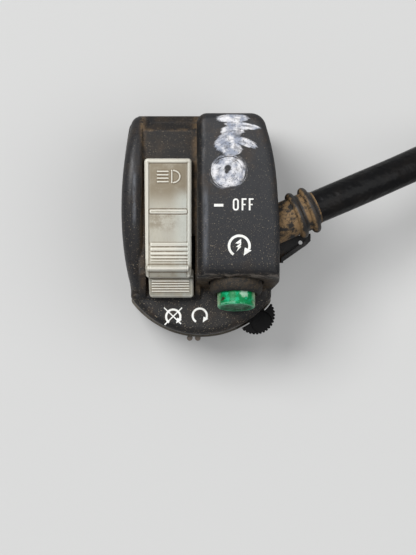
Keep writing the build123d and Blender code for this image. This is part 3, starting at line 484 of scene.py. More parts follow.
    def coat(self, colour: Value, layers: tuple[Layer, ...]) -> Value:
        """Lay coats of colour over a surface.

        Args:
            colour: what lies below.
            layers: the coats from the lowest up.

        Returns:
            The colour's socket.
        """
        for layer in layers:
            share = self.times(self.mask(*layer.masks), layer.share)
            colour = self.mix(share, colour, srgb(layer.colour))
        return colour


# The chin's middle, and the button's face and the grommet's seat with their outward ways
CHIN = (0.3, -10.8, 0.0)
BUTTON = (10.6, -27.7, 21.8)
BUTTON_WAY = (0.0, -0.97667, 0.21474)
GROMMET = (23.0, -3.0, 19.7)
GROMMET_WAY = (0.91154, 0.38693, -0.13917)


@dataclass(frozen=True)
class Dusty:
    """A plain finish with dust in its corners and a mottled surface."""

    name: str
    base: str
    second: str
    dust: str
    rough: float = 0.55
    dust_reach: float = 3.0
    dust_span: Pair = (0.25, 0.75)
    dust_rough: float = 0.9
    speck: Triple = (1.1, 4.0, 0.7)
    speck_share: float = 0.8
    blotch: float = 9.0
    blotch_span: Pair = (0.42, 0.68)
    blotch_share: float = 0.35
    grain: float = 0.35
    grain_depth: float = 0.03
    rounding: float = 0.25
    metallic: float = 0.0
    shine: float = 0.5

    def graph(self) -> tuple[Graph, Value, Value]:
        """Start the graph with the mottled base and the dust.

        Returns:
            The graph, its colour socket and its dust socket.
        """
        g = Graph(self.name)
        g.fill(g.shader, {"Specular IOR Level": self.shine})
        blotch = g.ramp(g.noise(self.blotch, 5.0, 0.65), *self.blotch_span)
        colour = g.mix(g.times(blotch, self.blotch_share), srgb(self.base), srgb(self.second))
        speck = g.times(g.math("SUBTRACT", g.noise(*self.speck), 0.5), self.speck_share)
        open_air = g.add("ShaderNodeAmbientOcclusion", {"Distance": self.dust_reach * MM}, samples=8)
        hollow = g.math("SUBTRACT", 1.0, open_air.outputs["AO"])
        dust = g.ramp(g.math("ADD", hollow, speck), *self.dust_span)
        return g, g.mix(dust, colour, srgb(self.dust)), dust

    def skin(self, g: Graph, colour: Value, rough: Value, relief: Value) -> Material:
        """Finish the material, with rounded edges and relief.

        Args:
            g: the material's graph.
            colour: its colour socket.
            rough: its roughness, a number or socket.
            relief: the relief pattern's socket.

        Returns:
            The material.
        """
        bevel = g.add("ShaderNodeBevel", {"Radius": self.rounding * MM}, samples=6).outputs[0]
        bump = {"Strength": 1.0, "Distance": self.grain_depth * MM, "Height": relief, "Normal": bevel}
        normal = g.add("ShaderNodeBump", bump).outputs[0]
        values = {"Base Color": colour, "Roughness": rough, "Metallic": self.metallic, "Normal": normal}
        g.fill(g.shader, values)
        return g.material

    def build(self) -> Material:
        """Make the material.

        Returns:
            The material.
        """
        g, colour, dust = self.graph()
        rough = g.math("ADD", self.rough, g.times(dust, self.dust_rough - self.rough))
        return self.skin(g, colour, rough, g.noise(self.grain, 2.0))


@dataclass(frozen=True)
class Daub:
    """One stroke of old white paint on the block's top, in millimetres and degrees."""

    x: float
    y: float
    long: float
    wide: float
    turn: float
    round: bool = False


PAINT = (
    Daub(9.7, 27.4, 4.6, 1.25, 2.0),
    Daub(12.4, 25.2, 4.9, 0.95, -7.0),
    Daub(9.6, 23.9, 3.4, 1.6, 4.0),
    Daub(8.0, 20.6, 3.9, 2.5, 24.0),
    Daub(13.2, 20.4, 3.6, 1.15, -20.0),
    Daub(9.3, 18.3, 2.9, 1.9, 10.0),
    Daub(8.2, 11.9, 4.9, 4.7, 0.0, True),
)
# Painted sheen, highlights and shade on the block and rim, and a brown film of dirt
CASING_SHEEN_SHADE_AND_FILM = (
    # The open top of the block, painted greyer than the rest as a painted sheen
    Layer("#292a2d", 0.8, (Fade("x", -0.8, 1.6), Fade("z", 25.0, 28.5))),
    # The rim, painted a little lighter as a painted sheen
    Layer("#2c2c2e", 0.6, (Fade("x", -17.2, -18.0), Fade("z", 13.0, 15.0))),
    # A painted highlight along the rim's crest
    Layer("#74777d", 0.5, (
        Fade("x", 0.75, 0.1, middle=-19.2), Fade("y", 16.0, 11.0), Fade("y", -6.0, 1.0),
        Fade("z", 20.0, 22.0), Cloud(0.9, 4.0, 0.38, 0.58, 0.25, stretch=(1.0, 2.5, 1.0)),
    )),
    # A painted highlight along the block's rounded left edge
    Layer("#63666c", 0.55, (
        Fade("x", 1.1, 0.1, middle=1.7), Fade("z", 26.5, 28.5), Fade("y", 15.0, 9.0, middle=-5.0),
        Cloud(1.6, 4.0, 0.34, 0.6, 0.2, stretch=(1.0, 4.0, 1.0)),
    )),
    # Painted shade in a band below that edge
    Layer("#0e0e0f", 0.85, (Fade("x", 1.2, 0.5, middle=-0.2), Fade("z", 22.0, 24.0))),
    # A brown film in clouds
    Layer("#3a3027", 0.5, (Cloud(6.5, 6.0, 0.48, 0.66), Fade("y", 4.0, 15.0, 0.35, middle=-5.0))),
)
RIM = CASING_SHEEN_SHADE_AND_FILM[1].masks
CHANNEL = (
    Fade("x", -18.0, -17.0), Fade("x", 0.2, -0.9), Fade("z", 23.0, 21.0), Fade("z", 14.5, 16.0),
    Cloud(2.6, 7.0, 0.4, 0.6, rough=0.8),
)
CHANNEL_SIDES = (Fade("x", -15.2, -17.2), Fade("x", -3.0, -1.0))
CHANNEL_CREASE = Fade("y", 0.7, 0.05, top=0.6, middle=24.3)
CHANNEL_UPPER = Fade("y", -9.0, 3.0, 0.35)
WALL = (Fade("button", 0.9, 0.4, middle=-7.3), Fade("off", 13.0, 11.0))
# Dust, specks and scuffs on the casing, with painted shade at the boot and on the block's lower rounding
CASING_SOIL_AND_SHADE = (
    # Brown dust under the block's lower edge
    Layer("#76634a", 1.0, (
        Fade("y", -21.5, -23.0), Fade("z", 13.5, 16.0), Fade("x", -2.0, 0.0),
        Cloud(2.4, 5.0, 0.3, 0.6, 0.3, 0.85),
    )),
    # Dust on the leaning wall round the button, and painted shade in the gap at the boot
    Layer("#584835", 1.0, (*WALL, Cloud(1.3, 6.0, 0.4, 0.62, 0.12, 0.75, rough=0.8))),
    Layer("#0b0a09", 1.0, (*WALL, Fade("off", 8.35, 8.1))),
    # Fine specks
    Layer("#a2947f", 1.0, (
        Cloud(0.38, 2.0, 0.62, 0.7), Cloud(5.0, 4.0, 0.34, 0.56, 0.45), Fade("y", 10.0, -24.0, 0.35, 0.8),
    )),
    # The block's lower rounding: painted shade where it turns away from the light, and scuffs
    Layer("#0d0d0f", 0.6, (Fade("y", -13.8, -16.4), Fade("z", 24.0, 26.0), Fade("x", -0.5, 1.0))),
    Layer("#8a8178", 0.62, (
        Fade("y", 2.4, 0.6, middle=-19.6), Fade("z", 24.5, 26.5),
        Cloud(1.0, 5.0, 0.48, 0.56, rough=0.75, stretch=(2.2, 1.0, 1.0)),
    )),
    # A lighter band along the chin's edge
    Layer("#8b8984", 0.45, (
        Fade("chin", 0.35, 0.05, middle=25.1), Fade("y", -23.0, -26.0), Fade("z", 5.0, 7.0),
        Cloud(2.0, 5.0, 0.3, 0.55, 0.35),
    )),
    # Dusty, faintly red lumps at the foot
    Layer("#85746b", 1.0, (Fade("y", -36.62, -36.75), Cloud(0.8, 3.0, 0.3, 0.6, 0.5, rough=0.6))),
    # The lighter edge of the lower shell
    Layer("#7d776c", 0.7, (
        Fade("z", 0.7, 0.45, middle=-0.2), Fade("y", -17.0, -24.0, 0.15),
        Cloud(2.0, 4.0, 0.3, 0.6, 0.4, 0.9, rough=0.6),
    )),
)


@dataclass(frozen=True)
class Brush:
    """How the old paint lies: its level, its bristle marks, its frayed edge and its wear."""

    level: float = 29.5
    lane_long: float = 0.16
    lane_wide: float = 2.2
    bow: float = 0.04
    ring_turn: float = 0.9
    ring_wide: float = 9.0
    detail: float = 5.0
    rough: float = 0.7
    fray: float = 1.1
    edge: Pair = (1.1, 0.92)
    film: Triple = (0.32, 0.5, 0.25)
    hole: Triple = (8.1, 12.9, 30.1)
    hole_tail: Triple = (7.8, 11.9, 30.1)
    wear: tuple[Fade | Cloud, ...] = (
        Fade("z", 27.0, 28.0), Fade("hole", 0.75, 1.15), Fade("tail", 0.4, 0.75),
        Cloud(0.55, 3.0, 0.33, 0.4), Cloud(2.0, 4.0, 0.34, 0.5, 0.45, rough=0.6),
    )

    def mark(self, g: Graph, daub: Daub) -> Value:
        """Work out where one daub lies.

        Args:
            g: the material's graph.
            daub: the stroke.

        Returns:
            The socket: 0 where bare and 1 where painted.
        """
        place = {
            "Vector": g.place, "Location": (daub.x * MM, daub.y * MM, self.level * MM),
            "Rotation": (0, 0, math.radians(daub.turn)), "Scale": (MM, MM, MM),
        }
        mapping = g.add("ShaderNodeMapping", place, vector_type="TEXTURE")
        x, y, _ = g.add("ShaderNodeSeparateXYZ", {0: mapping.outputs[0]}).outputs
        u, v = g.math("DIVIDE", x, daub.long), g.math("DIVIDE", y, daub.wide)
        reach = g.math("SQRT", g.math("ADD", g.times(u, u), g.times(v, v)))
        if daub.round:
            lane = (g.times(g.math("ARCTAN2", y, x), self.ring_turn), g.times(reach, self.ring_wide))
        else:
            bowed = g.math("ADD", y, g.times(x, x, self.bow))
            lane = (g.times(x, self.lane_long), g.times(bowed, self.lane_wide))
        lane = g.add("ShaderNodeCombineXYZ", {0: lane[0], 1: lane[1], 2: daub.x + daub.y}).outputs[0]
        bristle = {"Vector": lane, "Scale": 1.0, "Detail": self.detail, "Roughness": self.rough}
        streak = g.add("ShaderNodeTexNoise", bristle).outputs[0]
        frayed = g.math("ADD", reach, g.times(g.math("SUBTRACT", streak, 0.5), self.fray))
        return g.times(g.ramp(frayed, *self.edge), g.ramp(streak, *self.film))

    def cover(self, g: Graph) -> Value:
        """Work out where the old paint lies.

        Args:
            g: the material's graph.

        Returns:
            The socket: 0 where bare and 1 where painted.
        """
        total = 0.0
        for daub in PAINT:
            total = g.math("MAXIMUM", total, self.mark(g, daub))
        g.at |= {"hole": g.distance(self.hole), "tail": g.distance(self.hole_tail)}
        return g.times(total, g.mask(*self.wear))


@dataclass(frozen=True)
class CasingPlastic(Dusty):
    """Black moulded casing plastic, with dust in the channel, old paint on the block, and painted sheen,
    highlights and shade.
    """

    brush: Brush = Brush()
    dust_colour: str = "#6b573f"
    channel_share: Pair = (0.05, 0.66)
    paint_tone: Cloud = Cloud(2.6, 4.0, 0.36, 0.62, rough=0.65)
    paint_colours: tuple[str, str] = ("#8f95a3", "#dcdbdd")
    paint_share: float = 0.94
    paint_depth: float = 1.2
    paint_rough: float = 0.6
    rim_polish: float = 0.12
    dust_rough: float = 0.85

    def channel(self, g: Graph) -> Value:
        """Measure the brown dust in the slider channel.

        Args:
            g: the material's graph.

        Returns:
            The socket, 0 to 1.
        """
        sides = g.math("MAXIMUM", *(g.mask(side) for side in CHANNEL_SIDES))
        edge = g.times(g.math("MAXIMUM", sides, g.mask(CHANNEL_CREASE)), g.mask(CHANNEL_UPPER))
        least, more = self.channel_share
        return g.times(g.mask(*CHANNEL), g.math("ADD", least, g.times(edge, more)))

    def build(self) -> Material:
        """Make the material.

        Returns:
            The material.
        """
        g, colour, dust = self.graph()
        g.at = {name: g.axis(name.upper()) for name in "xyz"}
        g.at["button"] = g.along(BUTTON, BUTTON_WAY)
        g.at["off"] = g.off_axis(BUTTON, BUTTON_WAY)
        g.at["chin"] = g.off_axis(CHIN, (0.0, 0.0, 1.0))
        # Painted sheen, highlights and shade on the block and rim, and a brown film
        colour = g.coat(colour, CASING_SHEEN_SHADE_AND_FILM)
        share = self.channel(g)
        colour = g.mix(share, colour, srgb(self.dust_colour))
        # Dust, specks and scuffs, with painted shade at the boot and under the block's lower edge
        colour = g.coat(colour, CASING_SOIL_AND_SHADE)
        paint = self.brush.cover(g)
        tone = g.mix(g.mask(self.paint_tone), *(srgb(code) for code in self.paint_colours))
        colour = g.mix(g.times(paint, self.paint_share), colour, tone)
        relief = g.math("ADD", g.noise(self.grain, 3.0, 0.7), g.times(paint, self.paint_depth))
        polish = g.mask(Cloud(3.5, 5.0, 0.3, 0.7, self.rough - 0.06, self.rough + 0.14))
        polish = g.math("SUBTRACT", polish, g.times(g.mask(*RIM), self.rim_polish))
        rough = g.math("MAXIMUM", polish, g.times(g.math("MAXIMUM", dust, share), self.dust_rough))
        return self.skin(g, colour, g.math("MAXIMUM", rough, g.times(paint, self.paint_rough)), relief)


SLIDER_FILM = (Fade("y", 0.5, 7.0), Cloud(4.0, 6.0, 0.24, 0.52, 0.5))
SLIDER_SMUDGE = (Fade("y", 4.2, 0.8, top=0.8, middle=-2.2), Cloud(3.0, 6.0, 0.4, 0.62))
SLIDER_PALE = (Fade("x", -9.0, -4.6), Fade("y", 8.0, 3.0))
SLIDER_LAYERS = (
    # The raised border and the pale lower right of the panel
    Layer("#c9c5b8", 0.6, (Fade("border", -0.1, 0.35), Fade("y", -15.0, -12.5))),
    Layer("#b9bfba", 0.5, SLIDER_PALE),
    # The darker tail, the warm lower end and fine streaks
    Layer("#64645e", 0.6, (Fade("y", -18.4, -19.6), Cloud(2.4, 5.0, 0.3, 0.6, 0.55))),
    Layer("#877b66", 0.6, (Fade("y", -11.0, -17.0), Cloud(3.4, 5.0, 0.4, 0.66, rough=0.6))),
    Layer("#7a705e", 0.22, (Cloud(0.5, 5.0, 0.5, 0.7, rough=0.75, stretch=(1.0, 3.0, 1.0)),)),
    # Clean, rubbed edges and dark grime in the grooves, from the shell's own measure
    Layer("#dedbd0", 0.7, (Fade("grime", -0.02, -0.1),)),
    Layer("#5a4a35", 0.85, (Fade("grime", 0.02, 0.1), Cloud(0.9, 4.0, 0.3, 0.55, 0.55))),
)


@dataclass(frozen=True)
class SliderPlastic(Dusty):
    """Aged pale slider plastic, with grime along its raised forms."""

    panel: tuple[Pair, Pair] = ((-9.3, 3.0), (5.6, 11.6))
    border: tuple[Pair, Pair] = ((-9.35, 3.0), (5.75, 11.9))
    soil_colour: str = "#73664f"
    soil_share: float = 0.85
    pale_share: float = 0.75
    soil_rough: float = 0.2

    def build(self) -> Material:
        """Make the material.

        Returns:
            The material.
        """
        g, colour, _ = self.graph()
        g.at = {
            "x": g.axis("X"),
            "y": g.axis("Y"),
            "panel": g.rounded_box(*self.panel),
            "border": g.rounded_box(*self.border),
            "grime": g.add("ShaderNodeAttribute", attribute_name="grime").outputs["Fac"],
        }
        # Brown film over the upper panel and a smudge under the bar
        soil = g.math("MAXIMUM", g.mask(*SLIDER_FILM), g.mask(*SLIDER_SMUDGE))
        kept = g.math("SUBTRACT", 1.0, g.times(g.mask(*SLIDER_PALE), self.pale_share))
        soil = g.times(g.mask(Fade("panel", 0.3, -0.6)), soil, kept)
        colour = g.mix(g.times(soil, self.soil_share), colour, srgb(self.soil_colour))
        colour = g.coat(colour, SLIDER_LAYERS)
        rough = g.math("ADD", self.rough, g.times(soil, self.soil_rough))
        return self.skin(g, colour, rough, g.noise(self.grain, 2.0))


BUTTON_LAYERS = (
    # Painted glossy highlights in light clouds, and deep darks, in the moulded green
    Layer("#22b888", 0.62, (Cloud(1.9, 5.0, 0.5, 0.64, rough=0.75),)),
    Layer("#00512a", 0.5, (Cloud(2.3, 5.0, 0.48, 0.36, rough=0.75, stretch=(1.0, 2.0, 1.0)),)),
    # Whitish sides, a pale patch and a brown chip
    Layer("#a9b79a", 0.85, (Fade("x", 4.3, 5.45, middle=10.6), Cloud(1.2, 5.0, 0.32, 0.6))),
    Layer("#a3c4ad", 0.72, (Fade("patch", 3.1, 2.4),)),
    Layer("#33291a", 1.0, (Fade("chip", 2.35, 1.95),)),
    # The end face, soiled inside its clean rim, and its rubbed edge
    Layer("#23452f", 1.0, (
        Fade("out", -0.35, -0.12), Fade("reach", 4.9, 4.2), Cloud(1.6, 5.0, 0.3, 0.6, 0.35, 0.9),
    )),
    Layer("#6fb795", 0.6, (Fade("out", -0.35, -0.12), Fade("reach", 0.45, 0.1, middle=5.05))),
    Layer("#7fc7a5", 0.5, (Fade("out", 0.5, 0.1, middle=-0.35), Cloud(1.4, 3.0, 0.45, 0.6, rough=0.6))),
)


BOOT_LAYERS = (
    # Brown dust on the shoulder, and specks
    Layer("#4e4130", 0.45, (Fade("off", 6.9, 7.6), Cloud(1.3, 5.0, 0.4, 0.62, 0.1, rough=0.75))),
    Layer("#8d7455", 0.4, (Cloud(0.45, 3.0, 0.6, 0.68),)),
)
# The grommet's two rings, whose outer edges are rubbed clean of the tan dust
RINGS = tuple(Fade("depth", 1.35, 0.75, middle=place) for place in (6.65, 10.65))
GROMMET_LAYERS = (
    Layer("#7d6444", 0.9, (Cloud(2.6, 6.0, 0.42, 0.56, rough=0.75), Cloud(0.7, 3.0, 0.3, 0.5, 0.4))),
    *(Layer("#1d1d1e", 0.92, (ring,)) for ring in RINGS),
)


def torn(place: Triple, size: float, reach: float) -> Callable:
    """Make the measure of a spot with a torn outline.

    Args:
        place: the spot's middle.
        size: the scale of the noise that tears it.
        reach: how far it is torn.

    Returns:
        A function of the graph that gives the distance's socket.
    """
    return lambda g: g.math("ADD", g.distance(place), g.times(g.noise(size, 5.0, 0.75), reach))


@dataclass(frozen=True)
class Coated(Dusty):
    """A dusty finish with coats and polish that follow measures of its own."""

    measures: dict[str, Callable] = field(default_factory=dict)
    layers: tuple[Layer, ...] = ()
    polish: tuple[tuple[Fade | Cloud, float], ...] = ()
    relief: Triple = (0.7, 4.0, 0.75)

    def build(self) -> Material:
        """Make the material.

        Returns:
            The material.
        """
        g, colour, _ = self.graph()
        g.at = {name: measure(g) for name, measure in self.measures.items()}
        rough = self.rough
        for mask, share in self.polish:
            rough = g.math("ADD", rough, g.times(g.mask(mask), share))
        return self.skin(g, g.coat(colour, self.layers), rough, g.noise(*self.relief))


@dataclass(frozen=True)
class Boot:
    """The domed rubber boot round the button, turned about the button's axis."""

    profile: tuple[Pair, ...] = (
        (9.4, 5.83), (4.3, 5.83), (3.95, 5.95), (3.8, 6.2), (3.8, 6.5), (3.95, 6.8), (4.25, 7.1),
        (4.7, 7.4), (5.3, 7.65), (6.0, 7.8), (6.6, 7.78), (7.1, 7.65), (9.4, 7.65),
    )
    steps: int = 96

    def build(self, material: Material) -> Piece:
        """Turn the boot.

        Args:
            material: its finish.

        Returns:
            The boot, which replaces the plain one.
        """
        bm = bmesh.new()
        corners = [bm.verts.new((radius * MM, 0, -depth * MM)) for depth, radius in self.profile]
        edges = [bm.edges.new(pair) for pair in zip(corners, corners[1:] + corners[:1])]
        bmesh.ops.spin(
            bm, geom=corners + edges, cent=(0, 0, 0), axis=(0, 0, 1), angle=math.tau,
            steps=self.steps, use_merge=True, use_duplicate=False,
        )
        bmesh.ops.remove_doubles(bm, verts=bm.verts, dist=1e-7)
        bmesh.ops.recalc_face_normals(bm, faces=bm.faces)
        turn = Vector(BUTTON_WAY).to_track_quat("Z", "X").to_matrix().to_4x4()
        bmesh.ops.transform(bm, matrix=turn, verts=bm.verts)
        bmesh.ops.translate(bm, vec=Vector(BUTTON) * MM, verts=bm.verts)
        for face in bm.faces:
            face.smooth = True
        boot = make_piece("button_boot_shape", bm, material)
        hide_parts("button_boot")
        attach(boot, Ride.HOUSING.value)
        return boot


@dataclass(frozen=True)
class ReturnSpring:
    """The button's return spring, copied from the solid model as a piece of its own."""

    node: str = "start_return_spring"
    travel: float = 2.0

    def build(self) -> Piece:
        """Copy the spring as a piece of its own.

        Returns:
            The spring, which replaces the solid model's spring.
        """
        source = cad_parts[self.node]
        mesh = source.data.copy()
        mesh.transform(source.matrix_world)
        spring = bpy.data.objects.new("return_spring_shape", mesh)
        bpy.context.scene.collection.objects.link(spring)
        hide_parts(self.node)
        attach(spring, Ride.HOUSING.value)
        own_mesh(spring)
        return spring


@dataclass(frozen=True)
class SliderShell:
    """The pale slider's moulded form: a raised border, a bar, ribs, a thumb ridge and a stepped tail."""

    body: Box = (-16.3, -2.4, -19.0, 15.9)
    level: float = 23.6
    under: float = 20.3
    lean: float = 0.45
    corner: float = 1.1
    open_by: float = 9.0
    edge: float = 0.75
    border: float = 1.2
    sunk: float = 0.38
    bar: Box = (-14.75, -3.75, -0.28, 1.0)
    bar_corner: float = 0.5
    bar_moat: float = 0.1
    grooves: tuple[float, ...] = (-8.5, -9.95, -11.3, -12.5, -13.5, -14.3)
    groove_half: float = 0.13
    rib_ends: Pair = (-14.6, -3.4)
    rib_corner: float = 0.45
    rib_high: float = 0.3
    lamp_place: Pair = (-7.9, 10.6)
    lamp_size: float = 1.75
    lamp_stretch: float = 1.15
    lamp_back: float = 0.35
    ray_place: float = 3.0
    ray_half: float = 1.5
    rays: tuple[float, ...] = (-1.5, -0.5, 0.5, 1.5)
    sign_high: float = 0.26
    ridge: Box = (-15.6, -3.0, -17.3, -15.1)
    ridge_corner: float = 1.1
    ridge_high: float = 1.15
    fall_from: float = -16.3
    fall: float = 2.1
    foot_blend: Pair = (-17.6, -18.6)
    tail: Box = (-15.2, -1.9, -24.8, -16.2)
    tail_level: float = 18.9
    tail_fall: float = 1.4
    tail_under: float = 13.3
    tail_lean: float = 0.4
    tail_ribs: tuple[float, ...] = (-19.95, -20.7, -21.45, -22.2, -22.95)
    tail_rib_ends: Pair = (-14.2, -3.1)
    tail_rib_half: float = 0.25
    tail_rib_high: float = 0.26
    tail_join: float = 1.6
    cell: float = 0.13
    fine: tuple[float, ...] = (0, 0.04, 0.1, 0.18, 0.28, 0.4, 0.54, 0.7)
    rubbed: float = -0.05
    blur: int = 3
    leg_place: Triple = (-9.4, -0.45, 18.2)
    leg_size: Triple = (3.6, 5.5, 4.4)

    @staticmethod
    def step(value: Array, low: float, high: float) -> Array:
        """Rise smoothly from 0 at low to 1 at high.

        Args:
            value: the array to map.
            low: where the result is 0.
            high: where the result is 1.

        Returns:
            The mapped array.
        """
        share = np.clip((value - low) / (high - low), 0, 1)
        return share * share * (3 - 2 * share)

    @staticmethod
    def inset(x: Array, y: Array, box: Box, corner: float) -> Array:
        """The depth of points inside a rounded box.

        Args:
            x, y: the points' places.
            box: left, right, low and high.
            corner: the corners' radius.

        Returns:
            The depth, negative outside.
        """
        left, right, low, high = box
        qx = np.abs(x - (left + right) / 2) - (right - left) / 2 + corner
        qy = np.abs(y - (low + high) / 2) - (high - low) / 2 + corner
        outside = np.hypot(np.maximum(qx, 0), np.maximum(qy, 0))
        return corner - outside - np.minimum(np.maximum(qx, qy), 0)

    def rounded(self, depth: Array) -> Array:
        """The drop of a rounded edge.

        Args:
            depth: how far inside the outline it is wanted.

        Returns:
            The drop below the top.
        """
        rest = self.edge - np.clip(depth, 0, self.edge)
        return self.edge - np.sqrt(np.maximum(self.edge**2 - rest**2, 0))

    def lamp(self, x: Array, y: Array) -> Array:
        """The plain headlamp sign, as a height share.

        Args:
            x, y: the points' places.

        Returns:
            1 on the sign's strokes and 0 off them.
        """
        (cx, cy), size = self.lamp_place, self.lamp_size
        bow = np.abs(np.hypot((x - cx) / self.lamp_stretch, y - cy) - size)
        bow = np.where(x < cx, size, bow)
        back = np.hypot(x - (cx - self.lamp_back), np.maximum(np.abs(y - cy) - size, 0))
        near = np.minimum(bow, back)
        reach = np.maximum(np.abs(x - (cx - self.ray_place)) - self.ray_half, 0)
        for ray in self.rays:
            near = np.minimum(near, np.hypot(reach, y - cy - ray))
        return self.step(near, 0.36, 0.14)

    def body_height(self, x: Array, y: Array) -> Array:
        """The height of the slider's upper face.

        Args:
            x, y: the points' places.

        Returns:
            The height in millimetres.
        """
        # A step's two numbers are the depths, in millimetres, where it starts and where it is full
        left, right, low, high = self.body
        depth = self.inset(x, y, self.body, self.corner)
        open_end = self.inset(x, y, (left, right, low - self.open_by, high), self.corner)
        z = self.level - self.rounded(open_end)
        z -= self.sunk * self.step(open_end, self.border - 0.2, self.border + 0.3)
        bar = self.inset(x, y, self.bar, self.bar_corner)
        moat = self.step(bar, -0.5, -0.15) * self.step(bar, 0.05, -0.1)
        z += self.sunk * self.step(bar, -0.1, 0.18) - self.bar_moat * moat
        for upper, lower in zip(self.grooves, self.grooves[1:]):
            box = (*self.rib_ends, lower + self.groove_half, upper - self.groove_half)
            z += self.rib_high * self.step(self.inset(x, y, box, self.rib_corner), -0.08, 0.3)
        z += self.sign_high * self.lamp(x, y)
        # Thumb ridge, with its rounded right end
        ridge = self.inset(x, y, self.ridge, self.ridge_corner)
        z += self.ridge_high * np.sqrt(self.step(ridge, -0.05, self.ridge_corner))
        # Step face below the ridge
        z -= self.fall * self.step(y, self.fall_from, low)
        z -= self.rounded(np.minimum(depth, y - low)) * self.step(y, *self.foot_blend)
        return np.maximum(z, self.under + 0.05)

    def tail_height(self, x: Array, y: Array) -> Array:
        """The height of the tail's upper face.

        Args:
            x, y: the points' places.

        Returns:
            The height in millimetres.
        """
        left, right, low, high = self.tail
        foot, half = self.body[2], self.tail_rib_half
        z = self.tail_level - self.tail_fall * np.clip((foot - y) / (foot - low), 0, 1)
        z -= self.rounded(self.inset(x, y, (left, right, low, high + self.open_by), self.corner))
        for place in self.tail_ribs:
            rib = self.inset(x, y, (*self.tail_rib_ends, place - half, place + half), half - 0.01)
            z += self.tail_rib_high * self.step(rib, -0.1, 0.16)
        return z + self.tail_join * self.step(y, foot + 0.05, foot + 0.3)

    def grid(self, box: Box, height: Callable, bottom: float, taper: float) -> tuple[Array, Array]:
        """Lay a grid of points over a rounded outline.

        Args:
            box: left, right, low and high of the outline.
            height: the function that gives the upper face's height.
            bottom: the level of the underside.
            taper: how far the left edge leans in at its lower end.

        Returns:
            The points by row and column, and the grime measure of each.
        """
        left, right, low, high = box
        fine = np.array(self.fine)
        band = fine[-1]
        inner = np.linspace(0, 1, round((right - left) / self.cell))[1:-1]
        middle = np.linspace(low + band, high - band, round((high - low) / self.cell))[1:-1]
        rows = np.concatenate([low + fine, middle, high - fine[::-1]])
        over = np.maximum(np.abs(rows - (low + high) / 2) - (high - low) / 2 + self.corner, 0)
        shrink = self.corner - np.sqrt(np.maximum(self.corner**2 - over**2, 0))
        first = left + shrink + taper * (high - rows) / (high - low)
        last = right - shrink
        x = np.stack(
            [first + d for d in fine]
            + [first + band + (last - first - 2 * band) * s for s in inner]
            + [last - d for d in fine[::-1]],
            axis=1,
        )
        y = np.repeat(rows[:, None], x.shape[1], axis=1)
        z = np.maximum(height(x, y), bottom + 0.02)
        soft = z.copy()
        for axis in (0, 1):
            soft = sum(np.roll(soft, shift, axis) for shift in range(-self.blur, self.blur + 1))
            soft = soft / (2 * self.blur + 1)
        kept = slice(self.blur + 1, -self.blur - 1)
        grime = np.full(z.shape, self.rubbed)
        grime[kept, kept] = (soft - z)[kept, kept]
        ends = [np.stack([x[:, side], rows, np.full(len(rows), bottom)], axis=1) for side in (0, -1)]
        top = np.stack([x, y, z], axis=2)
        points = np.concatenate([ends[0][:, None], top, ends[1][:, None]], axis=1)
        zero = np.zeros((len(rows), 1))
        return points, np.concatenate([zero, grime, zero], axis=1)

    def build(self, material: Material) -> Piece:
        """Make the slider.

        Args:
            material: its plastic.

        Returns:
            The slider, which rides on the light switch's body.
        """
        bm = bmesh.new()
        measure = bm.verts.layers.float.new("grime")
        parts = (
            self.grid(self.body, self.body_height, self.under, self.lean),
            self.grid(self.tail, self.tail_height, self.tail_under, self.tail_lean),
        )
        for points, grime in parts:
            rings = [[bm.verts.new(point * MM) for point in row] for row in points]
            for ring, marks in zip(rings, grime):
                for vertex, mark in zip(ring, marks):
                    vertex[measure] = mark
            last = len(rings[0]) - 1
            for one, two in zip(rings, rings[1:]):
                for k in range(last + 1):
                    after = (k + 1) % (last + 1)
                    face = bm.faces.new((one[k], one[after], two[after], two[k]))
                    face.smooth = k not in (0, last - 1, last)
            bm.faces.new(rings[0])
            bm.faces.new(reversed(rings[-1]))
        # The leg that the carriage sits on
        leg = bmesh.ops.create_cube(bm, size=1.0)["verts"]
        for vertex in leg:
            vertex.co = (Vector(self.leg_place) + vertex.co * Vector(self.leg_size)) * MM
        bmesh.ops.recalc_face_normals(bm, faces=bm.faces)
        shell = make_piece("light_slider_shell", bm, material)
        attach(shell, Ride.LIGHT.value)
        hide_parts("light_slider")
        return shell


@dataclass(frozen=True)
class Sign:
    """One printed mark: its strokes and filled shapes, in millimetres."""

    name: str
    strokes: tuple[tuple[tuple[Pair, ...], float], ...]
    fills: tuple[tuple[Pair, ...], ...] = ()
    on_block: bool = True


def arc(x: float, y: float, radius: float, first: float, last: float, steps: int = 40) -> tuple:
    """Points on an arc.

    Args:
        x: the centre's x in millimetres.
        y: the centre's y in millimetres.
        radius: in millimetres.
        first: the first angle in degrees.
        last: the last angle in degrees.
        steps: how many pieces it has.

    Returns:
        The (x, y) points in millimetres.
    """
    angles = [math.radians(first + (last - first) * step / steps) for step in range(steps + 1)]
    return tuple((x + radius * math.cos(a), y + radius * math.sin(a)) for a in angles)


def arrow(x: float, y: float, size: float) -> tuple:
    """The arrowhead of a turning sign: a triangle at its lower right.

    Args:
        x: the sign's centre x.
        y: the sign's centre y.
        size: the sign's radius.

    Returns:
        The triangle's corners.
    """
    corners = ((1.2, -0.44), (0.54, -0.14), (0.42, -0.94))
    return tuple((x + size * u, y + size * v) for u, v in corners)


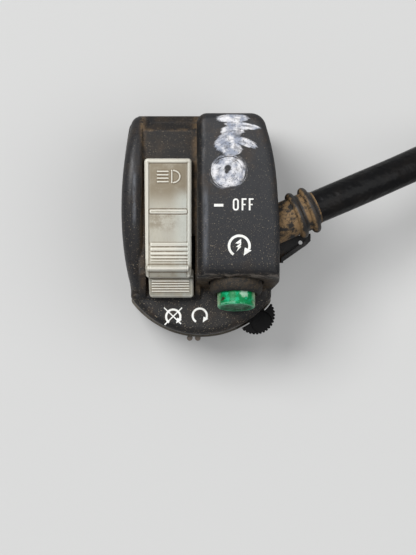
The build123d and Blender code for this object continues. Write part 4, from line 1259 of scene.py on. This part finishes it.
START = (11.43, -9.75)
STOP = (-7.91, -30.45)
RUN = (-0.09, -30.15)
SIGNS = (
    Sign("position_dash", ((((4.1, 2.1), (6.8, 2.1)), 0.78),)),
    Sign(
        "off_mark",
        (
            ((*arc(10.42, 3.2, 0.64, 0, 180, 12), *arc(10.42, 1.42, 0.64, 180, 360, 12), (11.06, 3.2)), 0.46),
            (((12.35, 0.62), (12.35, 4.1)), 0.48),
            (((12.35, 3.88), (13.5, 3.88)), 0.43),
            (((12.35, 2.3), (13.25, 2.3)), 0.4),
            (((14.43, 0.62), (14.43, 4.1)), 0.48),
            (((14.43, 3.88), (15.55, 3.88)), 0.43),
            (((14.43, 2.3), (15.3, 2.3)), 0.4),
        ),
    ),
    Sign(
        "start_mark",
        ((arc(*START, 2.98, 236, -18), 0.74),),
        (
            arrow(*START, 2.98),
            ((11.98, -7.62), (10.28, -8.95), (10.95, -9.1), (11.95, -8.55)),
            ((12.0, -8.75), (10.5, -9.98), (11.1, -10.1), (11.95, -9.5)),
            ((11.75, -9.75), (11.15, -10.1), (10.6, -11.4), (12.0, -10.0)),
            ((12.0, -8.55), (10.9, -8.9), (10.9, -9.15), (12.0, -8.85)),
        ),
    ),
    Sign(
        "stop_mark",
        (
            (arc(*STOP, 2.1, 234, -28), 0.6),
            (((STOP[0] - 2.7, STOP[1] + 2.65), (STOP[0] + 2.3, STOP[1] - 2.1)), 0.34),
            (((STOP[0] + 2.6, STOP[1] + 2.65), (STOP[0] - 2.55, STOP[1] - 2.4)), 0.34),
        ),
        (arrow(*STOP, 2.1),),
        False,
    ),
    Sign("run_mark", ((arc(*RUN, 2.1, 238, -20), 0.6),), (arrow(*RUN, 2.1),), False),
)


@dataclass(frozen=True)
class Print:
    """The white marks printed on the block and the chin."""

    material: Material
    lift: float = 0.04
    layer: float = 0.006
    foot: float = -0.1
    chin_level: float = 12.5
    # The crown's arc: its centre's y and z, and its radius
    crown: Triple = (0.2894772, -184.2841644, 214.7909756)

    def level(self, y: float, on_block: bool) -> float:
        """The height of the surface under a mark.

        Args:
            y: the place along the face.
            on_block: whether the mark lies on the block's crowned top.

        Returns:
            The height in millimetres.
        """
        if not on_block:
            return self.chin_level
        middle, foot, radius = self.crown
        return foot + math.sqrt(radius**2 - (y - middle) ** 2)

    def slab(self, bm: bmesh.types.BMesh, corners: list, sign: Sign, number: int) -> None:
        """Add one flat filled shape.

        Args:
            bm: the bmesh.
            corners: its (x, y) corners.
            sign: the mark that it belongs to.
            number: its layer, so that crossing shapes don't share a face.
        """
        rings = []
        for drop in (self.lift + number * self.layer, self.foot):
            points = [Vector((x, y, self.level(y, sign.on_block) + drop)) * MM for x, y in corners]
            rings.append([bm.verts.new(point) for point in points])
        bm.faces.new(rings[0])
        bm.faces.new(reversed(rings[1]))
        for k in range(len(corners)):
            after = (k + 1) % len(corners)
            bm.faces.new((rings[0][k], rings[1][k], rings[1][after], rings[0][after]))

    def build(self, sign: Sign) -> Piece:
        """Make one mark.

        Args:
            sign: what is drawn.

        Returns:
            The mark, which rides on the housing.
        """
        bm = bmesh.new()
        number = 0
        for path, width in sign.strokes:
            points = [Vector(p) for p in path]
            closed = (points[0] - points[-1]).length < 1e-6
            sides = []
            for i, point in enumerate(points):
                before = points[i - 1] if i else (points[-2] if closed else point)
                after = points[i + 1] if i < len(points) - 1 else (points[1] if closed else point)
                way = (after - before).normalized()
                side = Vector((-way.y, way.x)) * width / 2
                sides.append((point + side, point - side))
            for (a, b), (c, d) in zip(sides, sides[1:]):
                self.slab(bm, [a, b, d, c], sign, number)
            number += 1
        for corners in sign.fills:
            self.slab(bm, [Vector(p) for p in corners], sign, number)
            number += 1
        bmesh.ops.recalc_face_normals(bm, faces=bm.faces)
        mark = make_piece(sign.name, bm, self.material)
        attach(mark, Ride.HOUSING.value)
        return mark


@dataclass(frozen=True)
class Studio:
    """The pale floor and the soft light from above and the upper left."""

    floor_level: float = -17.0 * MM
    floor_size: float = 4.0
    floor_colour: str = "#b1b1b0"
    floor_glow: str = "#dcdcdb"
    floor_lift: float = 0.165
    key_place: Triple = (-1.15, 1.05, 2.6)
    key_power: float = 84.0
    key_size: float = 1.5
    fill_place: Triple = (1.6, 0.3, 2.6)
    fill_power: float = 40.0
    world_colour: str = "#f4f6fa"
    world_strength: float = 0.36

    @staticmethod
    def lamp(name: str, place: Triple, power: float, size: float) -> Piece:
        """Make one round soft light that faces the part.

        Args:
            name: the light's name.
            place: where it hangs, in metres.
            power: in watts.
            size: its diameter in metres.

        Returns:
            The light.
        """
        data = bpy.data.lights.new(name, "AREA")
        data.shape = "DISK"
        data.size = size
        data.energy = power
        light = bpy.data.objects.new(name, data)
        light.location = place
        light.rotation_euler = (-Vector(place)).to_track_quat("-Z", "Y").to_euler()
        bpy.context.scene.collection.objects.link(light)
        return light

    def build(self) -> None:
        """Make the floor, the two lights and the world light."""
        g = Graph("painted board")
        seen = g.add("ShaderNodeLightPath").outputs["Is Camera Ray"]
        lift = g.times(seen, self.floor_lift)
        board, glow = srgb(self.floor_colour), srgb(self.floor_glow)
        g.fill(g.shader, {"Base Color": board, "Roughness": 0.9, "Specular IOR Level": 0.1})
        g.fill(g.shader, {"Emission Color": glow, "Emission Strength": lift})
        bm = bmesh.new()
        bmesh.ops.create_grid(bm, x_segments=1, y_segments=1, size=self.floor_size / 2)
        floor = make_piece("floor", bm, g.material)
        floor.location = (0, 0, self.floor_level)
        key = self.lamp("key", self.key_place, self.key_power, self.key_size)
        fill = self.lamp("fill", self.fill_place, self.fill_power, 2 * self.key_size)
        world = bpy.data.worlds.new("world")
        world.use_nodes = True
        bpy.context.scene.world = world
        background = world.node_tree.nodes["Background"]
        background.inputs[0].default_value = srgb(self.world_colour)
        background.inputs[1].default_value = self.world_strength


FINISHES = {
    # Black ABS with a worn, dusty skin, and painted sheen, highlights and shade
    "casing": CasingPlastic(
        "black casing plastic", "#1d1d1e", "#2c2722", "#4f4234",
        rough=0.42, shine=0.22, rounding=0.8, dust_span=(0.42, 0.95), blotch_share=0.6,
        grain=0.3, grain_depth=0.04,
    ),
    # Plain black nylon, less dusty than the casing
    "moulded": Dusty(
        "black moulded nylon", "#121213", "#1b1816", "#2b231b", rough=0.45, shine=0.25, dust_span=(0.5, 1.0),
    ),
    # Nylon of the thumb piece, nearly black
    "thumb": Dusty(
        "black thumb nylon", "#050506", "#0c0b0b", "#19150f", rough=0.5, shine=0.1, dust_span=(0.6, 1.1),
    ),
    # Painted steel bracket
    "bracket": Dusty(
        "black painted bracket", "#0f0f10", "#1c1712", "#4a3724",
        rough=0.4, shine=0.3, blotch=3.0, blotch_share=0.6, dust_span=(0.5, 0.75),
    ),
    # Aged acetal
    "slider": SliderPlastic(
        "aged slider plastic", "#a5a193", "#96928a", "#7d725d",
        rough=0.42, dust_reach=1.0, dust_span=(0.5, 1.0), rounding=0.1, blotch=6.0, grain_depth=0.012,
    ),
    # Emerald moulded plastic, with painted glossy highlights
    "button": Coated(
        "green button plastic", "#00753f", "#005f34", "#1f3d26",
        rough=0.2, dust_reach=1.5, dust_span=(0.6, 1.1), blotch=3.0, grain_depth=0.06,
        shine=0.13, rounding=0.4, relief=(1.6, 4.0, 0.7),
        measures={
            "x": lambda g: g.axis("X"),
            "out": lambda g: g.along(BUTTON, BUTTON_WAY),
            "reach": lambda g: g.distance(BUTTON),
            "patch": torn((12.9, -23.3, 25.9), 0.8, 3.0),
            "chip": torn((6.7, -25.1, 25.2), 0.7, 3.2),
        },
        layers=BUTTON_LAYERS, polish=((Cloud(1.5, 4.0, 0.3, 0.7, rough=0.6), 0.28),),
    ),
    # Nitrile rubber, dusty
    "rubber": Dusty(
        "dusty rubber", "#292725", "#3a322b", "#574736",
        rough=0.7, shine=0.3, blotch=3.0, blotch_share=0.6, dust_span=(0.4, 0.95), rounding=0.5,
    ),
    # The boot's rubber, dusty on its shoulder
    "boot": Coated(
        "dusty boot rubber", "#191919", "#24211e", "#332b22",
        rough=0.72, shine=0.3, blotch=2.4, blotch_share=0.6, dust_reach=2.0, dust_span=(0.5, 1.0),
        rounding=0.3, grain_depth=0.09,
        measures={"off": lambda g: g.off_axis(BUTTON, BUTTON_WAY)}, layers=BOOT_LAYERS,
    ),
    # Tan dust baked on the strain relief
    "grommet": Coated(
        "dusty grommet rubber", "#1d1c1b", "#332c25", "#4a3d2d",
        rough=0.75, shine=0.35, dust_reach=2.0, dust_span=(0.4, 0.9), grain_depth=0.08,
        relief=(0.9, 4.0, 0.7), measures={"depth": lambda g: g.along(GROMMET, GROMMET_WAY)},
        layers=GROMMET_LAYERS, polish=tuple((ring, -0.3) for ring in RINGS),
    ),
    # Vinyl sleeve
    "loom": Dusty(
        "black vinyl sleeve", "#0b0b0c", "#171412", "#2f271e",
        rough=0.38, shine=0.14, blotch=6.0, blotch_share=0.6, grain=3.5, grain_depth=0.5,
        dust_span=(0.6, 1.1),
    ),
    # Zinc plated steel
    "steel": Dusty("zinc plated steel", "#9a9a98", "#7d7a74", "#4b4033", rough=0.35, metallic=1.0),
    # Brass contacts
    "brass": Dusty("contact brass", "#b08d4a", "#8f7038", "#4b4033", rough=0.35, metallic=1.0),
    # Pressed laminate
    "board": Dusty("pressed laminate", "#7a5a36", "#6a4c2c", "#4b4033", rough=0.6),
    # Natural nylon
    "nylon": Dusty("natural nylon", "#c9c4b2", "#bdb7a2", "#8a8068", rough=0.5),
    # Printing ink
    "ink": Dusty(
        "white printing ink", "#e2e2de", "#c4c3ba", "#8d8474",
        rough=0.6, blotch=1.6, blotch_share=0.6, rounding=0.02, grain_depth=0.005, dust_span=(0.8, 1.3),
    ),
}
PARTS = {
    "casing": ("front_casing", "rear_casing"),
    "thumb": ("stop_slider",),
    "moulded": ("slider_carriage", "start_holder", "loom_tie", "inner_wires"),
    "bracket": ("cable_guard",),
    "slider": ("light_slider",),
    "button": ("start_button", "start_stem"),
    "rubber": ("connector_seal",),
    "boot": ("button_boot",),
    "grommet": ("cable_grommet",),
    "steel": (
        "clamp_screws", "board_screws", "holder_screw", "stop_plate_screws", "guard_screw",
        "slider_detent_ball", "slider_detent_spring", "stop_detent_ball", "stop_detent_spring",
        "start_return_spring", "start_clip",
    ),
    "brass": (
        "threaded_inserts", "slider_bridge", "light_contacts", "start_disc", "start_contacts",
        "stop_bridge", "stop_contacts", "connector_pins",
    ),
    "board": ("light_board", "start_base", "stop_guide_plate"),
    "nylon": ("connector_housing",),
}


def paint_nodes() -> dict[str, Material]:
    """Give each solid its finish.

    Returns:
        The finishes by name.
    """
    materials = {name: finish.build() for name, finish in FINISHES.items()}
    for name, nodes in PARTS.items():
        for node in nodes:
            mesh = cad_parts[node].data
            mesh.materials.clear()
            mesh.materials.append(materials[name])
            log.info("%s painted %s", node, name)
    return materials


def main() -> None:
    """Build the scene."""
    bpy.context.scene.view_settings.view_transform = "Standard"
    CameraView().build()
    materials = paint_nodes()
    made = [
        Loom().build(materials["loom"]),
        SliderShell().build(materials["slider"]),
        Boot().build(materials["boot"]),
        ReturnSpring().build(),
    ]
    printer = Print(materials["ink"])
    made += [printer.build(sign) for sign in SIGNS]
    for piece in made:
        log.info("%s made", piece.name)
    Studio().build()


if __name__ == "__main__":
    logging.basicConfig(level=logging.INFO, format="%(message)s")
    main()
